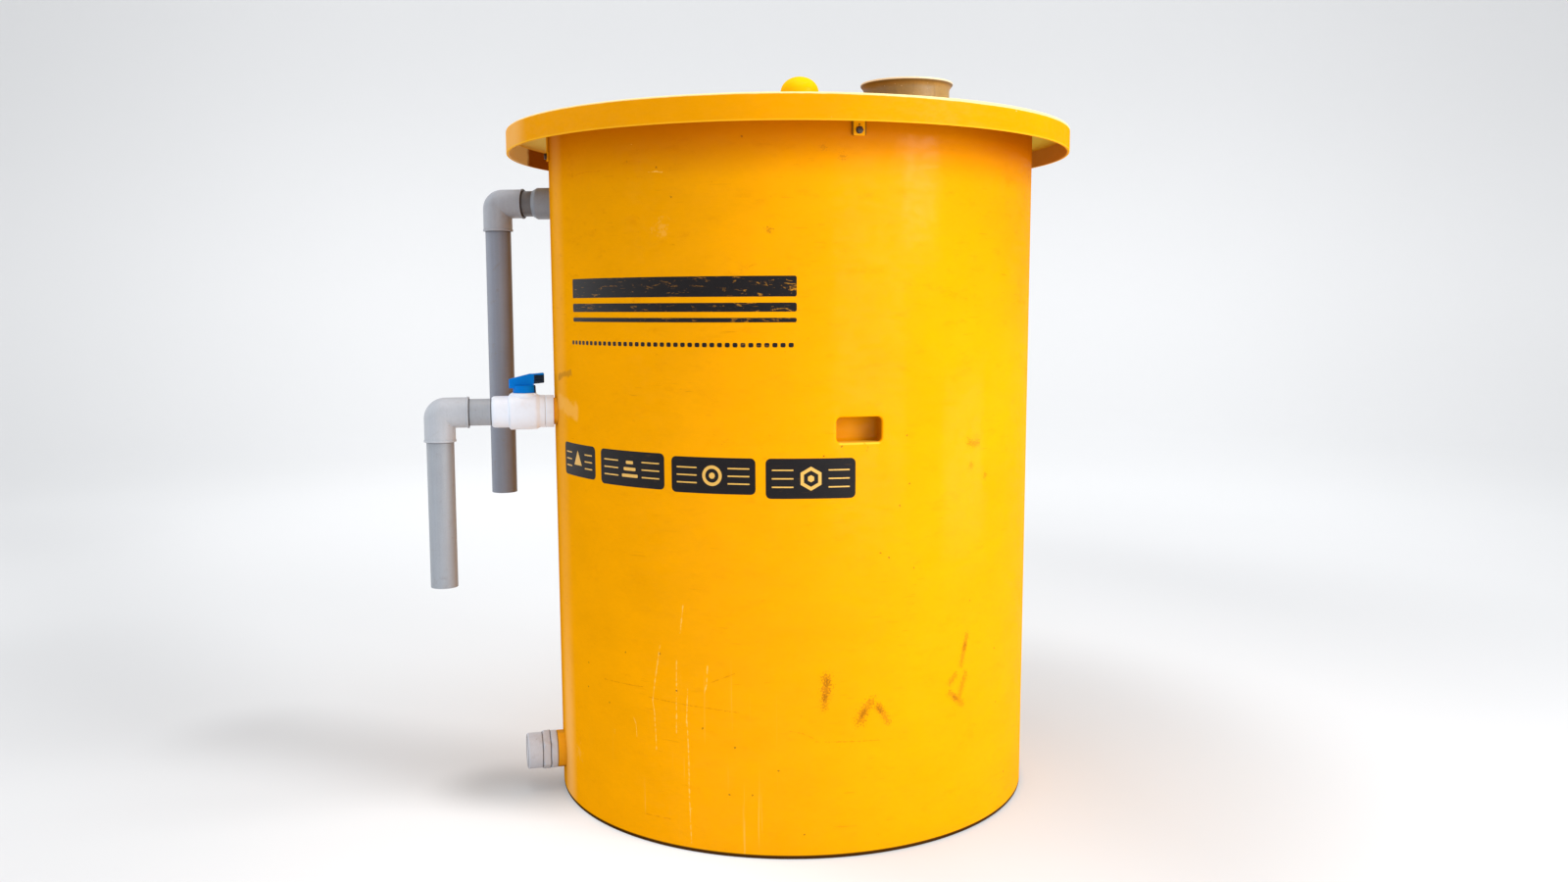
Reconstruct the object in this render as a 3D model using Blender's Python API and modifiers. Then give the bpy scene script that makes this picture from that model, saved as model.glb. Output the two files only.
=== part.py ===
"""Household biogas digester with a lid, an inlet pipe, an overflow line, a valve line and a drain.

The frame stands on the ground at the tank's axis: +Z is up, -Y is the side with the pocket and the
valve line leaves near -X. A pipe line has its own frame, whose X axis points away from the tank.
"""

import math

import bmesh
import bpy
from mathutils import Matrix, Vector

# Fits and roundness
GAP = 0.0003
MERGE = 0.00005
CUT_OVER = 0.020
TANK_SIDES = 84
PIPE_SIDES = 20
BEND_STEPS = 7

# Tank
TANK_BASE_RADIUS = 0.4415
TANK_TOP_RADIUS = 0.4466
TANK_TOP = 1.2077
TANK_WALL = 0.006
FLOOR_THICKNESS = 0.008

# Pocket moulded into the front of the wall
POCKET_WIDTH = 0.076
POCKET_HEIGHT = 0.041
POCKET_DEPTH = 0.030
POCKET_Z = 0.703
POCKET_WALL = 0.005
POCKET_ROUNDING = 0.008

# Lid
LID_RADIUS = 0.5168
LID_THICKNESS = 0.005
LID_EDGE_TOP = 1.2130
LID_SKIRT_BOTTOM = 1.1716
LID_EDGE_ROUNDING = 0.004
LID_SHIFT = Vector((-0.004, 0.0, 0.0))
CROWN_START = 0.400
CROWN_PAD_RADIUS = 0.075
CROWN_RISE = 0.024

# Knob at the crown of the lid
KNOB_PLACE = Vector((0.018, -0.0046, 0.0))
KNOB_RADIUS = 0.0355
KNOB_NECK_RADIUS = 0.025
KNOB_TOP = 1.3240
KNOB_HEAD_HEIGHT = 0.044
KNOB_DOME_HEIGHT = 0.028
KNOB_UNDERSIDE = 0.006
KNOB_DOME_STEPS = 5

# Inlet pipe through the lid
INLET_PLACE = Vector((0.219, -0.032, 0.0))
INLET_RADIUS = 0.080
INLET_WALL = 0.004
INLET_RIM_TOP = 1.3130
INLET_RIM_RADIUS = 0.0865
INLET_FLARE_HEIGHT = 0.010
INLET_RIM_EDGE = 0.0025
INLET_RIM_WALL = 0.003
INLET_BOTTOM = 0.350
INLET_SIDES = 36

# Brackets and bolts that hold the lid down, one at each quarter
BRACKET_AZIMUTHS = {"front": -90.5, "right": -0.5, "back": 89.5, "left": 179.5}
BRACKET_WIDTH = 0.023
BRACKET_THICKNESS = 0.003
BRACKET_BOTTOM = 1.1590
BRACKET_FOOT = 0.026
BOLT_Z = 1.1675
BOLT_RADIUS = 0.003
BOLT_LENGTH = 0.012
BOLT_HEAD_RADIUS = 0.0058
BOLT_HEAD_HEIGHT = 0.0042

# Pipe and elbow of both lines
PIPE_RADIUS = 0.02415
PIPE_WALL = 0.0025
ELBOW_RADIUS = 0.0273
ELBOW_BEND = 0.0285
ELBOW_LEG = 0.052
ELBOW_LIP_RADIUS = 0.0284
ELBOW_LIP_LENGTH = 0.004
SOCKET_DEPTH = 0.023
NOZZLE_INSIDE = 0.030

# Overflow line: azimuth and height of its nozzle, then distances from the wall
OVERFLOW_AZIMUTH = 161.0
OVERFLOW_TURN = 0.0
OVERFLOW_Z = 1.0953
OVERFLOW_SOCKET_RADIUS = 0.0297
OVERFLOW_SOCKET_END = 0.0465
OVERFLOW_SOCKET_CHAMFER = 0.008
OVERFLOW_MOUTH_WALL = 0.001
OVERFLOW_ELBOW = 0.1180
OVERFLOW_PIPE_END = 0.5380

# Valve line: its pipe leaves the wall a little off square
OUTLET_AZIMUTH = 182.5
OUTLET_TURN = -6.0
OUTLET_Z = 0.7105
VALVE_START = 0.0045
VALVE_RING_END = 0.0200
VALVE_NECK_END = 0.0288
VALVE_SHOULDER = 0.0027
VALVE_BODY_END = 0.0842
VALVE_END = 0.1143
VALVE_ROUNDING = 0.003
VALVE_RING_RADIUS = 0.0293
VALVE_BODY_RADIUS = 0.0328
VALVE_SOCKET_RADIUS = 0.0286
VALVE_BORE = 0.020
VALVE_INSERT = 0.0090
OUTLET_ELBOW = 0.2060
OUTLET_PIPE_END = 0.3950

# Handle of the valve, measured from the stem's axis and the pipe's axis
STEM_PLACE = 0.0560
STEM_PAD_RADIUS = 0.0215
STEM_PAD_BOTTOM = 0.0260
STEM_PAD_TOP = 0.0338
HUB_RADIUS = 0.0205
HUB_BOTTOM = STEM_PAD_TOP + GAP
HUB_TOP = 0.0475
LEVER_WIDTH = 0.017
LEVER_TAIL = -0.0275
LEVER_TIP = 0.0355
LEVER_TAIL_BOTTOM = 0.0425
LEVER_TAIL_TOP = 0.0585
LEVER_BROW = 0.0100
LEVER_TOP = 0.0680
LEVER_TIP_TOP = 0.0695
LEVER_TIP_BOTTOM = 0.0535
LEVER_CROOK = 0.0165
LEVER_CROOK_Z = 0.0500

# Drain near the ground, with distances from the wall
DRAIN_AZIMUTH = 181.0
DRAIN_TURN = 0.0
DRAIN_Z = 0.0755
DRAIN_NOZZLE_RADIUS = 0.0338
DRAIN_RING_START = 0.0135
DRAIN_RING_END = 0.0268
DRAIN_RING_RADIUS = 0.0345
DRAIN_HEX_END = 0.0412
DRAIN_HEX_CORNER = 0.0374
DRAIN_CAP_END = 0.0685
DRAIN_CAP_RADIUS = 0.0328
DRAIN_CAP_ROUNDING = 0.004
DRAIN_STUB_RADIUS = 0.0300
DRAIN_STUB_WALL = 0.0030
DRAIN_STUB_END = 0.0600
DRAIN_NOZZLE_INSIDE = 0.020

COLOURS = {
    "tank_yellow": ((0.80, 0.42, 0.01), 0.35, 0.0),
    "pipe_grey": ((0.33, 0.34, 0.37), 0.45, 0.0),
    "valve_white": ((0.86, 0.83, 0.80), 0.40, 0.0),
    "handle_blue": ((0.01, 0.16, 0.52), 0.35, 0.0),
    "inlet_ochre": ((0.30, 0.19, 0.07), 0.55, 0.0),
    "fitting_grey": ((0.62, 0.61, 0.60), 0.45, 0.0),
    "bolt_steel": ((0.10, 0.08, 0.07), 0.50, 1.0),
}

PARTS = "biogas_digester"
CUTTERS = "cutters"


def clear_scene():
    """Removes every object that the scene starts with."""
    for obj in list(bpy.data.objects):
        bpy.data.objects.remove(obj)


def make_collections():
    """Makes the collection of the parts and the one of their cutters."""
    for name in (PARTS, CUTTERS):
        bpy.context.scene.collection.children.link(bpy.data.collections.new(name))


def make_material(name):
    """Makes one Principled material from its colour, roughness and metallic value."""
    colour, roughness, metallic = COLOURS[name]
    material = bpy.data.materials.new(name)
    material.use_nodes = True
    shader = material.node_tree.nodes["Principled BSDF"]
    shader.inputs["Base Color"].default_value = (*colour, 1.0)
    shader.inputs["Roughness"].default_value = roughness
    shader.inputs["Metallic"].default_value = metallic
    return material


def add_object(name, mesh, material=None, place=None):
    """Links a mesh as a part, or as a hidden cutter when it has no material."""
    obj = bpy.data.objects.new(name, mesh)
    obj.matrix_world = place or Matrix.Identity(4)
    bpy.data.collections[PARTS if material else CUTTERS].objects.link(obj)
    if material:
        mesh.materials.append(material)
    else:
        obj.hide_render = True
        obj.display_type = "WIRE"
    return obj


def turn(name, profile, sides, material=None, place=None, closed=False):
    """Turns a profile of (radius, height) points, given top to bottom along its outer side."""
    mesh = bpy.data.meshes.new(name)
    last = len(profile) - 1
    edges = [(i, i + 1) for i in range(last)]
    if closed:
        edges.append((last, 0))
    mesh.from_pydata([(radius, 0.0, height) for radius, height in profile], edges, [])
    obj = add_object(name, mesh, material, place)
    screw = obj.modifiers.new("turned", "SCREW")
    screw.steps = sides
    screw.render_steps = sides
    screw.use_merge_vertices = True
    screw.merge_threshold = MERGE
    screw.use_smooth_shade = True
    return obj


def turn_tube(name, outer, inner, bottom, top, sides, material=None, place=None):
    """Turns a straight tube between two heights."""
    profile = [(outer, top), (outer, bottom), (inner, bottom), (inner, top)]
    return turn(name, profile, sides, material, place, closed=True)


def turn_rod(name, radius, bottom, top, sides, material=None, place=None):
    """Turns a solid round bar between two heights."""
    profile = [(0.0, top), (radius, top), (radius, bottom), (0.0, bottom)]
    return turn(name, profile, sides, material, place)


def make_box(name, low, high, material=None, place=None, rounding=0.0, steps=3):
    """Makes a box between two corners, with rounded edges where a rounding is given."""
    mesh = bpy.data.meshes.new(name)
    body = bmesh.new()
    bmesh.ops.create_cube(body, size=1.0)
    low, high = Vector(low), Vector(high)
    size = high - low
    bmesh.ops.scale(body, vec=size, verts=body.verts)
    bmesh.ops.translate(body, vec=(low + high) / 2.0, verts=body.verts)
    body.to_mesh(mesh)
    body.free()
    obj = add_object(name, mesh, material, place)
    if rounding:
        bevel = obj.modifiers.new("rounded", "BEVEL")
        bevel.width = rounding
        bevel.segments = steps
    return obj


def mesh_from_curve(name, curve, material=None, place=None):
    """Turns a curve into a closed mesh object and removes the curve."""
    source = bpy.data.objects.new(name, curve)
    source.matrix_world = place or Matrix.Identity(4)
    bpy.data.collections[CUTTERS].objects.link(source)
    bpy.context.view_layer.update()
    evaluated = source.evaluated_get(bpy.context.evaluated_depsgraph_get())
    mesh = bpy.data.meshes.new_from_object(evaluated)
    body = bmesh.new()
    body.from_mesh(mesh)
    bmesh.ops.remove_doubles(body, verts=body.verts, dist=MERGE)
    body.to_mesh(mesh)
    body.free()
    mesh.materials.clear()
    matrix = source.matrix_world.copy()
    bpy.data.objects.remove(source)
    return add_object(name, mesh, material, matrix)


def bend_tube(name, radius, leg, material=None, place=None):
    """Makes a solid bend from -X down to -Z, its two legs as long as leg."""
    curve = bpy.data.curves.new(name, "CURVE")
    curve.dimensions = "3D"
    curve.bevel_depth = radius
    curve.bevel_resolution = (PIPE_SIDES - 4) // 2
    curve.use_fill_caps = True
    angles = [math.radians(90.0 * (1.0 - i / BEND_STEPS)) for i in range(BEND_STEPS + 1)]
    points = [(-leg, 0.0, 0.0)]
    points += [(ELBOW_BEND * (math.cos(a) - 1.0), 0.0, ELBOW_BEND * (math.sin(a) - 1.0)) for a in angles]
    points.append((0.0, 0.0, -leg))
    spline = curve.splines.new("POLY")
    spline.points.add(len(points) - 1)
    for point, place_of in zip(spline.points, points):
        point.co = (*place_of, 1.0)
    return mesh_from_curve(name, curve, material, place)


def extrude_outline(name, outline, width, material=None, place=None):
    """Makes a flat piece from an outline in the XZ plane, as wide as width along Y."""
    curve = bpy.data.curves.new(name, "CURVE")
    curve.dimensions = "2D"
    curve.fill_mode = "BOTH"
    curve.extrude = width / 2.0
    spline = curve.splines.new("POLY")
    spline.points.add(len(outline) - 1)
    for point, (x, z) in zip(spline.points, outline):
        point.co = (x, z, 0.0, 1.0)
    spline.use_cyclic_u = True
    upright = (place or Matrix.Identity(4)) @ Matrix.Rotation(math.radians(90.0), 4, "X")
    return mesh_from_curve(name, curve, material, upright)


def combine(obj, operand, operation):
    """Cuts obj by its operand, or joins them, with a Boolean modifier."""
    boolean = obj.modifiers.new(operation.lower(), "BOOLEAN")
    boolean.operation = operation
    boolean.solver = "EXACT"
    boolean.object = operand


def tank_radius(z):
    """Outer radius of the tapered wall at a height."""
    return TANK_BASE_RADIUS + (TANK_TOP_RADIUS - TANK_BASE_RADIUS) * z / TANK_TOP


def line_frame(azimuth, turn_off, z):
    """Frame of a pipe line: its origin on the wall's outside, X away from the tank, Z up."""
    radius = tank_radius(z)
    angle = math.radians(azimuth)
    place = Matrix.Translation((radius * math.cos(angle), radius * math.sin(angle), z))
    return place @ Matrix.Rotation(math.radians(azimuth + turn_off), 4, "Z")


def along(frame, distance=0.0):
    """Frame whose Z axis runs along a pipe line, at a distance from the wall."""
    return frame @ Matrix.Translation((distance, 0.0, 0.0)) @ Matrix.Rotation(math.radians(90.0), 4, "Y")


OVERFLOW = line_frame(OVERFLOW_AZIMUTH, OVERFLOW_TURN, OVERFLOW_Z)
OUTLET = line_frame(OUTLET_AZIMUTH, OUTLET_TURN, OUTLET_Z)
DRAIN = line_frame(DRAIN_AZIMUTH, DRAIN_TURN, DRAIN_Z)


def bracket_frame(azimuth):
    """Frame of a lid bracket: its origin on the wall's outside at the bolt, X away from the tank."""
    return line_frame(azimuth, 0.0, BOLT_Z)


def make_tank(yellow):
    """Makes the wall with its pocket and holes, and the floor inside it."""
    wall_profile = [(0.0, TANK_TOP), (TANK_TOP_RADIUS, TANK_TOP), (TANK_BASE_RADIUS, 0.0), (0.0, 0.0)]
    wall = turn("tank_wall", wall_profile, TANK_SIDES, yellow)
    top, bottom = TANK_TOP + CUT_OVER, -CUT_OVER
    inner = [(tank_radius(z) - TANK_WALL, z) for z in (top, bottom)]
    hollow = turn("tank_hollow", [(0.0, top), *inner, (0.0, bottom)], TANK_SIDES)

    face = tank_radius(POCKET_Z)
    half_width, half_height = POCKET_WIDTH / 2.0, POCKET_HEIGHT / 2.0
    pocket = make_box(
        "pocket_space",
        (-half_width, -face - CUT_OVER, POCKET_Z - half_height),
        (half_width, -face + POCKET_DEPTH, POCKET_Z + half_height),
        rounding=POCKET_ROUNDING,
    )
    boss = make_box(
        "pocket_boss",
        (-half_width - POCKET_WALL, -face - CUT_OVER, POCKET_Z - half_height - POCKET_WALL),
        (half_width + POCKET_WALL, -face + POCKET_DEPTH + POCKET_WALL, POCKET_Z + half_height + POCKET_WALL),
        rounding=POCKET_ROUNDING,
    )
    combine(hollow, boss, "DIFFERENCE")
    combine(wall, hollow, "DIFFERENCE")
    combine(wall, pocket, "DIFFERENCE")

    nozzles = {
        "overflow_hole": (OVERFLOW, OVERFLOW_SOCKET_RADIUS),
        "outlet_hole": (OUTLET, PIPE_RADIUS),
        "drain_hole": (DRAIN, DRAIN_NOZZLE_RADIUS),
    }
    for name, (frame, radius) in nozzles.items():
        hole = turn_rod(name, radius + GAP, -CUT_OVER, CUT_OVER, PIPE_SIDES, place=along(frame))
        combine(wall, hole, "DIFFERENCE")
    for side, azimuth in BRACKET_AZIMUTHS.items():
        place = along(bracket_frame(azimuth))
        hole = turn_rod(f"bolt_hole_{side}", BOLT_RADIUS + GAP, -CUT_OVER, CUT_OVER, PIPE_SIDES, place=place)
        combine(wall, hole, "DIFFERENCE")

    floor_radius = tank_radius(0.0) - TANK_WALL - GAP
    turn_rod("tank_floor", floor_radius, 0.0, FLOOR_THICKNESS, TANK_SIDES, yellow)


def make_lid(yellow):
    """Makes the lid: a shallow crown with a flat pad, a flat edge and a skirt turned down."""
    under = LID_EDGE_TOP - LID_THICKNESS
    inside = LID_RADIUS - LID_THICKNESS
    profile = [
        (0.0, LID_EDGE_TOP + CROWN_RISE),
        (CROWN_PAD_RADIUS, LID_EDGE_TOP + CROWN_RISE),
        (CROWN_START, LID_EDGE_TOP),
        (LID_RADIUS - LID_EDGE_ROUNDING, LID_EDGE_TOP),
        (LID_RADIUS, LID_EDGE_TOP - LID_EDGE_ROUNDING),
        (LID_RADIUS, LID_SKIRT_BOTTOM),
        (inside, LID_SKIRT_BOTTOM),
        (inside, under),
        (CROWN_START, under),
        (CROWN_PAD_RADIUS, under + CROWN_RISE),
        (0.0, under + CROWN_RISE),
    ]
    lid = turn("lid", profile, TANK_SIDES, yellow, Matrix.Translation(LID_SHIFT))
    hole = turn_rod(
        "inlet_hole", INLET_RADIUS + GAP, under - CROWN_RISE, LID_EDGE_TOP + 2.0 * CROWN_RISE,
        INLET_SIDES, place=Matrix.Translation(INLET_PLACE),
    )
    combine(lid, hole, "DIFFERENCE")


def make_knob(yellow):
    """Makes the knob: a neck on the pad of the lid and a domed head."""
    bottom = LID_EDGE_TOP + CROWN_RISE + GAP
    shoulder = KNOB_TOP - KNOB_DOME_HEIGHT
    angles = [math.radians(90.0 * i / KNOB_DOME_STEPS) for i in range(KNOB_DOME_STEPS + 1)]
    profile = [(KNOB_RADIUS * math.sin(a), shoulder + KNOB_DOME_HEIGHT * math.cos(a)) for a in angles]
    profile += [
        (KNOB_RADIUS, KNOB_TOP - KNOB_HEAD_HEIGHT),
        (KNOB_NECK_RADIUS, KNOB_TOP - KNOB_HEAD_HEIGHT - KNOB_UNDERSIDE),
        (KNOB_NECK_RADIUS, bottom),
        (0.0, bottom),
    ]
    turn("lid_knob", profile, PIPE_SIDES, yellow, Matrix.Translation(KNOB_PLACE))


def make_inlet(ochre):
    """Makes the inlet pipe, flared at its mouth, which dips deep into the tank."""
    inner = INLET_RADIUS - INLET_WALL
    flare_bottom = INLET_RIM_TOP - INLET_FLARE_HEIGHT
    profile = [
        (INLET_RIM_RADIUS, INLET_RIM_TOP),
        (INLET_RIM_RADIUS, INLET_RIM_TOP - INLET_RIM_EDGE),
        (INLET_RADIUS, flare_bottom),
        (INLET_RADIUS, INLET_BOTTOM),
        (inner, INLET_BOTTOM),
        (inner, flare_bottom),
        (INLET_RIM_RADIUS - INLET_RIM_WALL, INLET_RIM_TOP),
    ]
    turn("inlet_pipe", profile, INLET_SIDES, ochre, Matrix.Translation(INLET_PLACE), closed=True)


def make_brackets(yellow, steel):
    """Makes the four angle brackets under the lid, and the bolt that holds each to the wall."""
    top = LID_EDGE_TOP - LID_THICKNESS - GAP - BOLT_Z
    bottom = BRACKET_BOTTOM - BOLT_Z
    for side, azimuth in BRACKET_AZIMUTHS.items():
        frame = bracket_frame(azimuth)
        # The wall widens upward, so the leg stands off by what it gains over the leg's height
        stand_off = tank_radius(BOLT_Z + top) - tank_radius(BOLT_Z) + GAP
        outline = [
            (stand_off, bottom), (stand_off + BRACKET_THICKNESS, bottom),
            (stand_off + BRACKET_THICKNESS, top - BRACKET_THICKNESS),
            (stand_off + BRACKET_FOOT, top - BRACKET_THICKNESS), (stand_off + BRACKET_FOOT, top),
            (stand_off, top),
        ]
        bracket = extrude_outline(f"lid_bracket_{side}", outline, BRACKET_WIDTH, yellow, frame)
        hole = turn_rod(
            f"bracket_hole_{side}", BOLT_RADIUS + GAP, -CUT_OVER, CUT_OVER, PIPE_SIDES, place=along(frame),
        )
        combine(bracket, hole, "DIFFERENCE")
        start = stand_off + BRACKET_THICKNESS + GAP
        shank = turn_rod(
            f"lid_bolt_{side}", BOLT_RADIUS, start - BOLT_LENGTH, start + BOLT_HEAD_HEIGHT / 2.0, PIPE_SIDES,
            steel, along(frame),
        )
        head = turn_rod(
            f"bolt_head_{side}", BOLT_HEAD_RADIUS, start, start + BOLT_HEAD_HEIGHT, 6, place=along(frame),
        )
        combine(shank, head, "UNION")


def make_elbow(name, frame, distance, material):
    """Makes a 90 degree elbow with a socket and a lip at each end."""
    place = frame @ Matrix.Translation((distance, 0.0, 0.0))
    elbow = bend_tube(name, ELBOW_RADIUS, ELBOW_LEG, material, place)
    bore = bend_tube(f"{name}_bore", PIPE_RADIUS - PIPE_WALL, ELBOW_LEG + CUT_OVER, place=place)
    toward_tank = place @ Matrix.Rotation(math.radians(-90.0), 4, "Y")
    down = place @ Matrix.Rotation(math.radians(180.0), 4, "Y")
    ends = {"side": toward_tank, "down": down}
    for end, matrix in ends.items():
        lip = turn_rod(
            f"{name}_lip_{end}", ELBOW_LIP_RADIUS, ELBOW_LEG - ELBOW_LIP_LENGTH, ELBOW_LEG, PIPE_SIDES,
            place=matrix,
        )
        combine(elbow, lip, "UNION")
    combine(elbow, bore, "DIFFERENCE")
    for end, matrix in ends.items():
        socket = turn_rod(
            f"{name}_socket_{end}", PIPE_RADIUS + GAP, ELBOW_LEG - SOCKET_DEPTH, ELBOW_LEG + CUT_OVER,
            PIPE_SIDES, place=matrix,
        )
        combine(elbow, socket, "DIFFERENCE")


def make_down_pipe(name, frame, distance, axis_z, end_z, material):
    """Makes the pipe that hangs from an elbow's lower socket to its open end."""
    place = frame @ Matrix.Translation((distance, 0.0, 0.0))
    top = -(ELBOW_LEG - SOCKET_DEPTH) - GAP
    turn_tube(name, PIPE_RADIUS, PIPE_RADIUS - PIPE_WALL, end_z - axis_z, top, PIPE_SIDES, material, place)


def make_overflow(grey):
    """Makes the overflow line: socket through the wall, short pipe, elbow and down pipe."""
    line = along(OVERFLOW)
    radius, end = OVERFLOW_SOCKET_RADIUS, OVERFLOW_SOCKET_END
    stop = end - SOCKET_DEPTH
    profile = [
        (PIPE_RADIUS + OVERFLOW_MOUTH_WALL, end), (radius, end - OVERFLOW_SOCKET_CHAMFER),
        (radius, -NOZZLE_INSIDE),
        (PIPE_RADIUS - PIPE_WALL, -NOZZLE_INSIDE), (PIPE_RADIUS - PIPE_WALL, stop),
        (PIPE_RADIUS + GAP, stop), (PIPE_RADIUS + GAP, end),
    ]
    turn("overflow_socket", profile, PIPE_SIDES, grey, line, closed=True)
    elbow_socket_stop = OVERFLOW_ELBOW - ELBOW_LEG + SOCKET_DEPTH
    turn_tube(
        "overflow_stub_pipe", PIPE_RADIUS, PIPE_RADIUS - PIPE_WALL, stop + GAP, elbow_socket_stop - GAP,
        PIPE_SIDES, grey, line,
    )
    make_elbow("overflow_elbow", OVERFLOW, OVERFLOW_ELBOW, grey)
    make_down_pipe("overflow_down_pipe", OVERFLOW, OVERFLOW_ELBOW, OVERFLOW_Z, OVERFLOW_PIPE_END, grey)


def make_valve(white):
    """Makes the ball valve's body and the plain ring at its end next to the tank."""
    line = along(OUTLET)
    bore = PIPE_RADIUS + GAP
    turn_tube(
        "valve_ring", VALVE_RING_RADIUS, bore, VALVE_START, VALVE_RING_END - GAP, PIPE_SIDES, white, line,
    )
    socket_stop = VALVE_END - SOCKET_DEPTH
    insert_stop = VALVE_RING_END + VALVE_INSERT
    profile = [
        (VALVE_SOCKET_RADIUS - VALVE_ROUNDING, VALVE_END),
        (VALVE_SOCKET_RADIUS, VALVE_END - VALVE_ROUNDING),
        (VALVE_SOCKET_RADIUS, VALVE_BODY_END),
        (VALVE_BODY_RADIUS, VALVE_BODY_END - VALVE_SHOULDER),
        (VALVE_BODY_RADIUS, VALVE_NECK_END + VALVE_SHOULDER),
        (VALVE_RING_RADIUS, VALVE_NECK_END),
        (VALVE_RING_RADIUS, VALVE_RING_END),
        (bore, VALVE_RING_END),
        (bore, insert_stop),
        (VALVE_BORE, insert_stop),
        (VALVE_BORE, socket_stop),
        (bore, socket_stop),
        (bore, VALVE_END),
    ]
    body = turn("valve_body", profile, PIPE_SIDES, white, line, closed=True)
    stem = OUTLET @ Matrix.Translation((STEM_PLACE, 0.0, 0.0))
    pad = turn_rod("valve_pad", STEM_PAD_RADIUS, STEM_PAD_BOTTOM, STEM_PAD_TOP, PIPE_SIDES, place=stem)
    combine(body, pad, "UNION")


def make_handle(blue):
    """Makes the valve's handle: a hub on the stem's axis and a lever that rises towards the tank."""
    stem = OUTLET @ Matrix.Translation((STEM_PLACE, 0.0, 0.0)) @ Matrix.Rotation(math.radians(180.0), 4, "Z")
    outline = [
        (LEVER_TAIL, LEVER_TAIL_BOTTOM), (LEVER_CROOK, LEVER_TAIL_BOTTOM), (LEVER_CROOK, LEVER_CROOK_Z),
        (LEVER_TIP, LEVER_TIP_BOTTOM), (LEVER_TIP, LEVER_TIP_TOP), (LEVER_BROW, LEVER_TOP),
        (LEVER_TAIL, LEVER_TAIL_TOP),
    ]
    handle = turn_rod("valve_handle", HUB_RADIUS, HUB_BOTTOM, HUB_TOP, PIPE_SIDES, blue, stem)
    lever = extrude_outline("handle_lever", outline, LEVER_WIDTH, place=stem)
    combine(handle, lever, "UNION")


def make_outlet(yellow, white, blue, grey):
    """Makes the valve line: nozzle, valve, handle, short pipe, elbow and down pipe."""
    line = along(OUTLET)
    inner = PIPE_RADIUS - PIPE_WALL
    nozzle_end = VALVE_RING_END + VALVE_INSERT - GAP
    turn_tube("outlet_nozzle", PIPE_RADIUS, inner, -NOZZLE_INSIDE, nozzle_end, PIPE_SIDES, yellow, line)
    make_valve(white)
    make_handle(blue)
    start = VALVE_END - SOCKET_DEPTH + GAP
    stop = OUTLET_ELBOW - ELBOW_LEG + SOCKET_DEPTH - GAP
    turn_tube("outlet_stub_pipe", PIPE_RADIUS, inner, start, stop, PIPE_SIDES, grey, line)
    make_elbow("outlet_elbow", OUTLET, OUTLET_ELBOW, grey)
    make_down_pipe("outlet_down_pipe", OUTLET, OUTLET_ELBOW, OUTLET_Z, OUTLET_PIPE_END, grey)


def make_drain(yellow, fitting):
    """Makes the drain: nozzle, ring, hexagonal collar and round cap on a short stub."""
    line = along(DRAIN)
    stub_outer, stub_inner = DRAIN_STUB_RADIUS, DRAIN_STUB_RADIUS - DRAIN_STUB_WALL
    bore = stub_outer + GAP
    turn_tube(
        "drain_nozzle", DRAIN_NOZZLE_RADIUS, bore, -DRAIN_NOZZLE_INSIDE, DRAIN_RING_START - GAP, PIPE_SIDES,
        yellow, line,
    )
    turn_tube(
        "drain_stub", stub_outer, stub_inner, -DRAIN_NOZZLE_INSIDE, DRAIN_STUB_END, PIPE_SIDES, fitting, line,
    )
    turn_tube(
        "drain_ring", DRAIN_RING_RADIUS, bore, DRAIN_RING_START, DRAIN_RING_END - GAP, PIPE_SIDES, fitting,
        line,
    )
    collar = turn_rod("drain_collar", DRAIN_HEX_CORNER, DRAIN_RING_END, DRAIN_HEX_END - GAP, 6, fitting, line)
    reach = (DRAIN_RING_END - CUT_OVER, DRAIN_HEX_END + CUT_OVER)
    hole = turn_rod("drain_collar_hole", bore, *reach, PIPE_SIDES, place=line)
    combine(collar, hole, "DIFFERENCE")
    profile = [
        (0.0, DRAIN_CAP_END), (DRAIN_CAP_RADIUS - DRAIN_CAP_ROUNDING, DRAIN_CAP_END),
        (DRAIN_CAP_RADIUS, DRAIN_CAP_END - DRAIN_CAP_ROUNDING), (DRAIN_CAP_RADIUS, DRAIN_HEX_END),
        (bore, DRAIN_HEX_END), (bore, DRAIN_STUB_END + GAP), (0.0, DRAIN_STUB_END + GAP),
    ]
    turn("drain_cap", profile, PIPE_SIDES, fitting, line)


def main():
    """Builds the whole digester."""
    clear_scene()
    make_collections()
    colours = {name: make_material(name) for name in COLOURS}
    yellow, grey = colours["tank_yellow"], colours["pipe_grey"]
    make_tank(yellow)
    make_lid(yellow)
    make_knob(yellow)
    make_inlet(colours["inlet_ochre"])
    make_brackets(yellow, colours["bolt_steel"])
    make_overflow(grey)
    make_outlet(yellow, colours["valve_white"], colours["handle_blue"], grey)
    make_drain(yellow, colours["fitting_grey"])


main()
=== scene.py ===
"""Looks of a household biogas digester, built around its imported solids.

Metres, in the frame's own axes: +Z is up, -Y is the side with the pocket, and the pipe lines leave near
-X. Every piece is modelled with fine surfaces over its plain solid and gets a procedural finish.
"""

import logging
import math
from dataclasses import dataclass, field
from enum import Enum
from functools import reduce
from typing import Any, Callable, Optional, Sequence, Union

import bmesh
import bpy
from mathutils import Matrix, Vector


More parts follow.
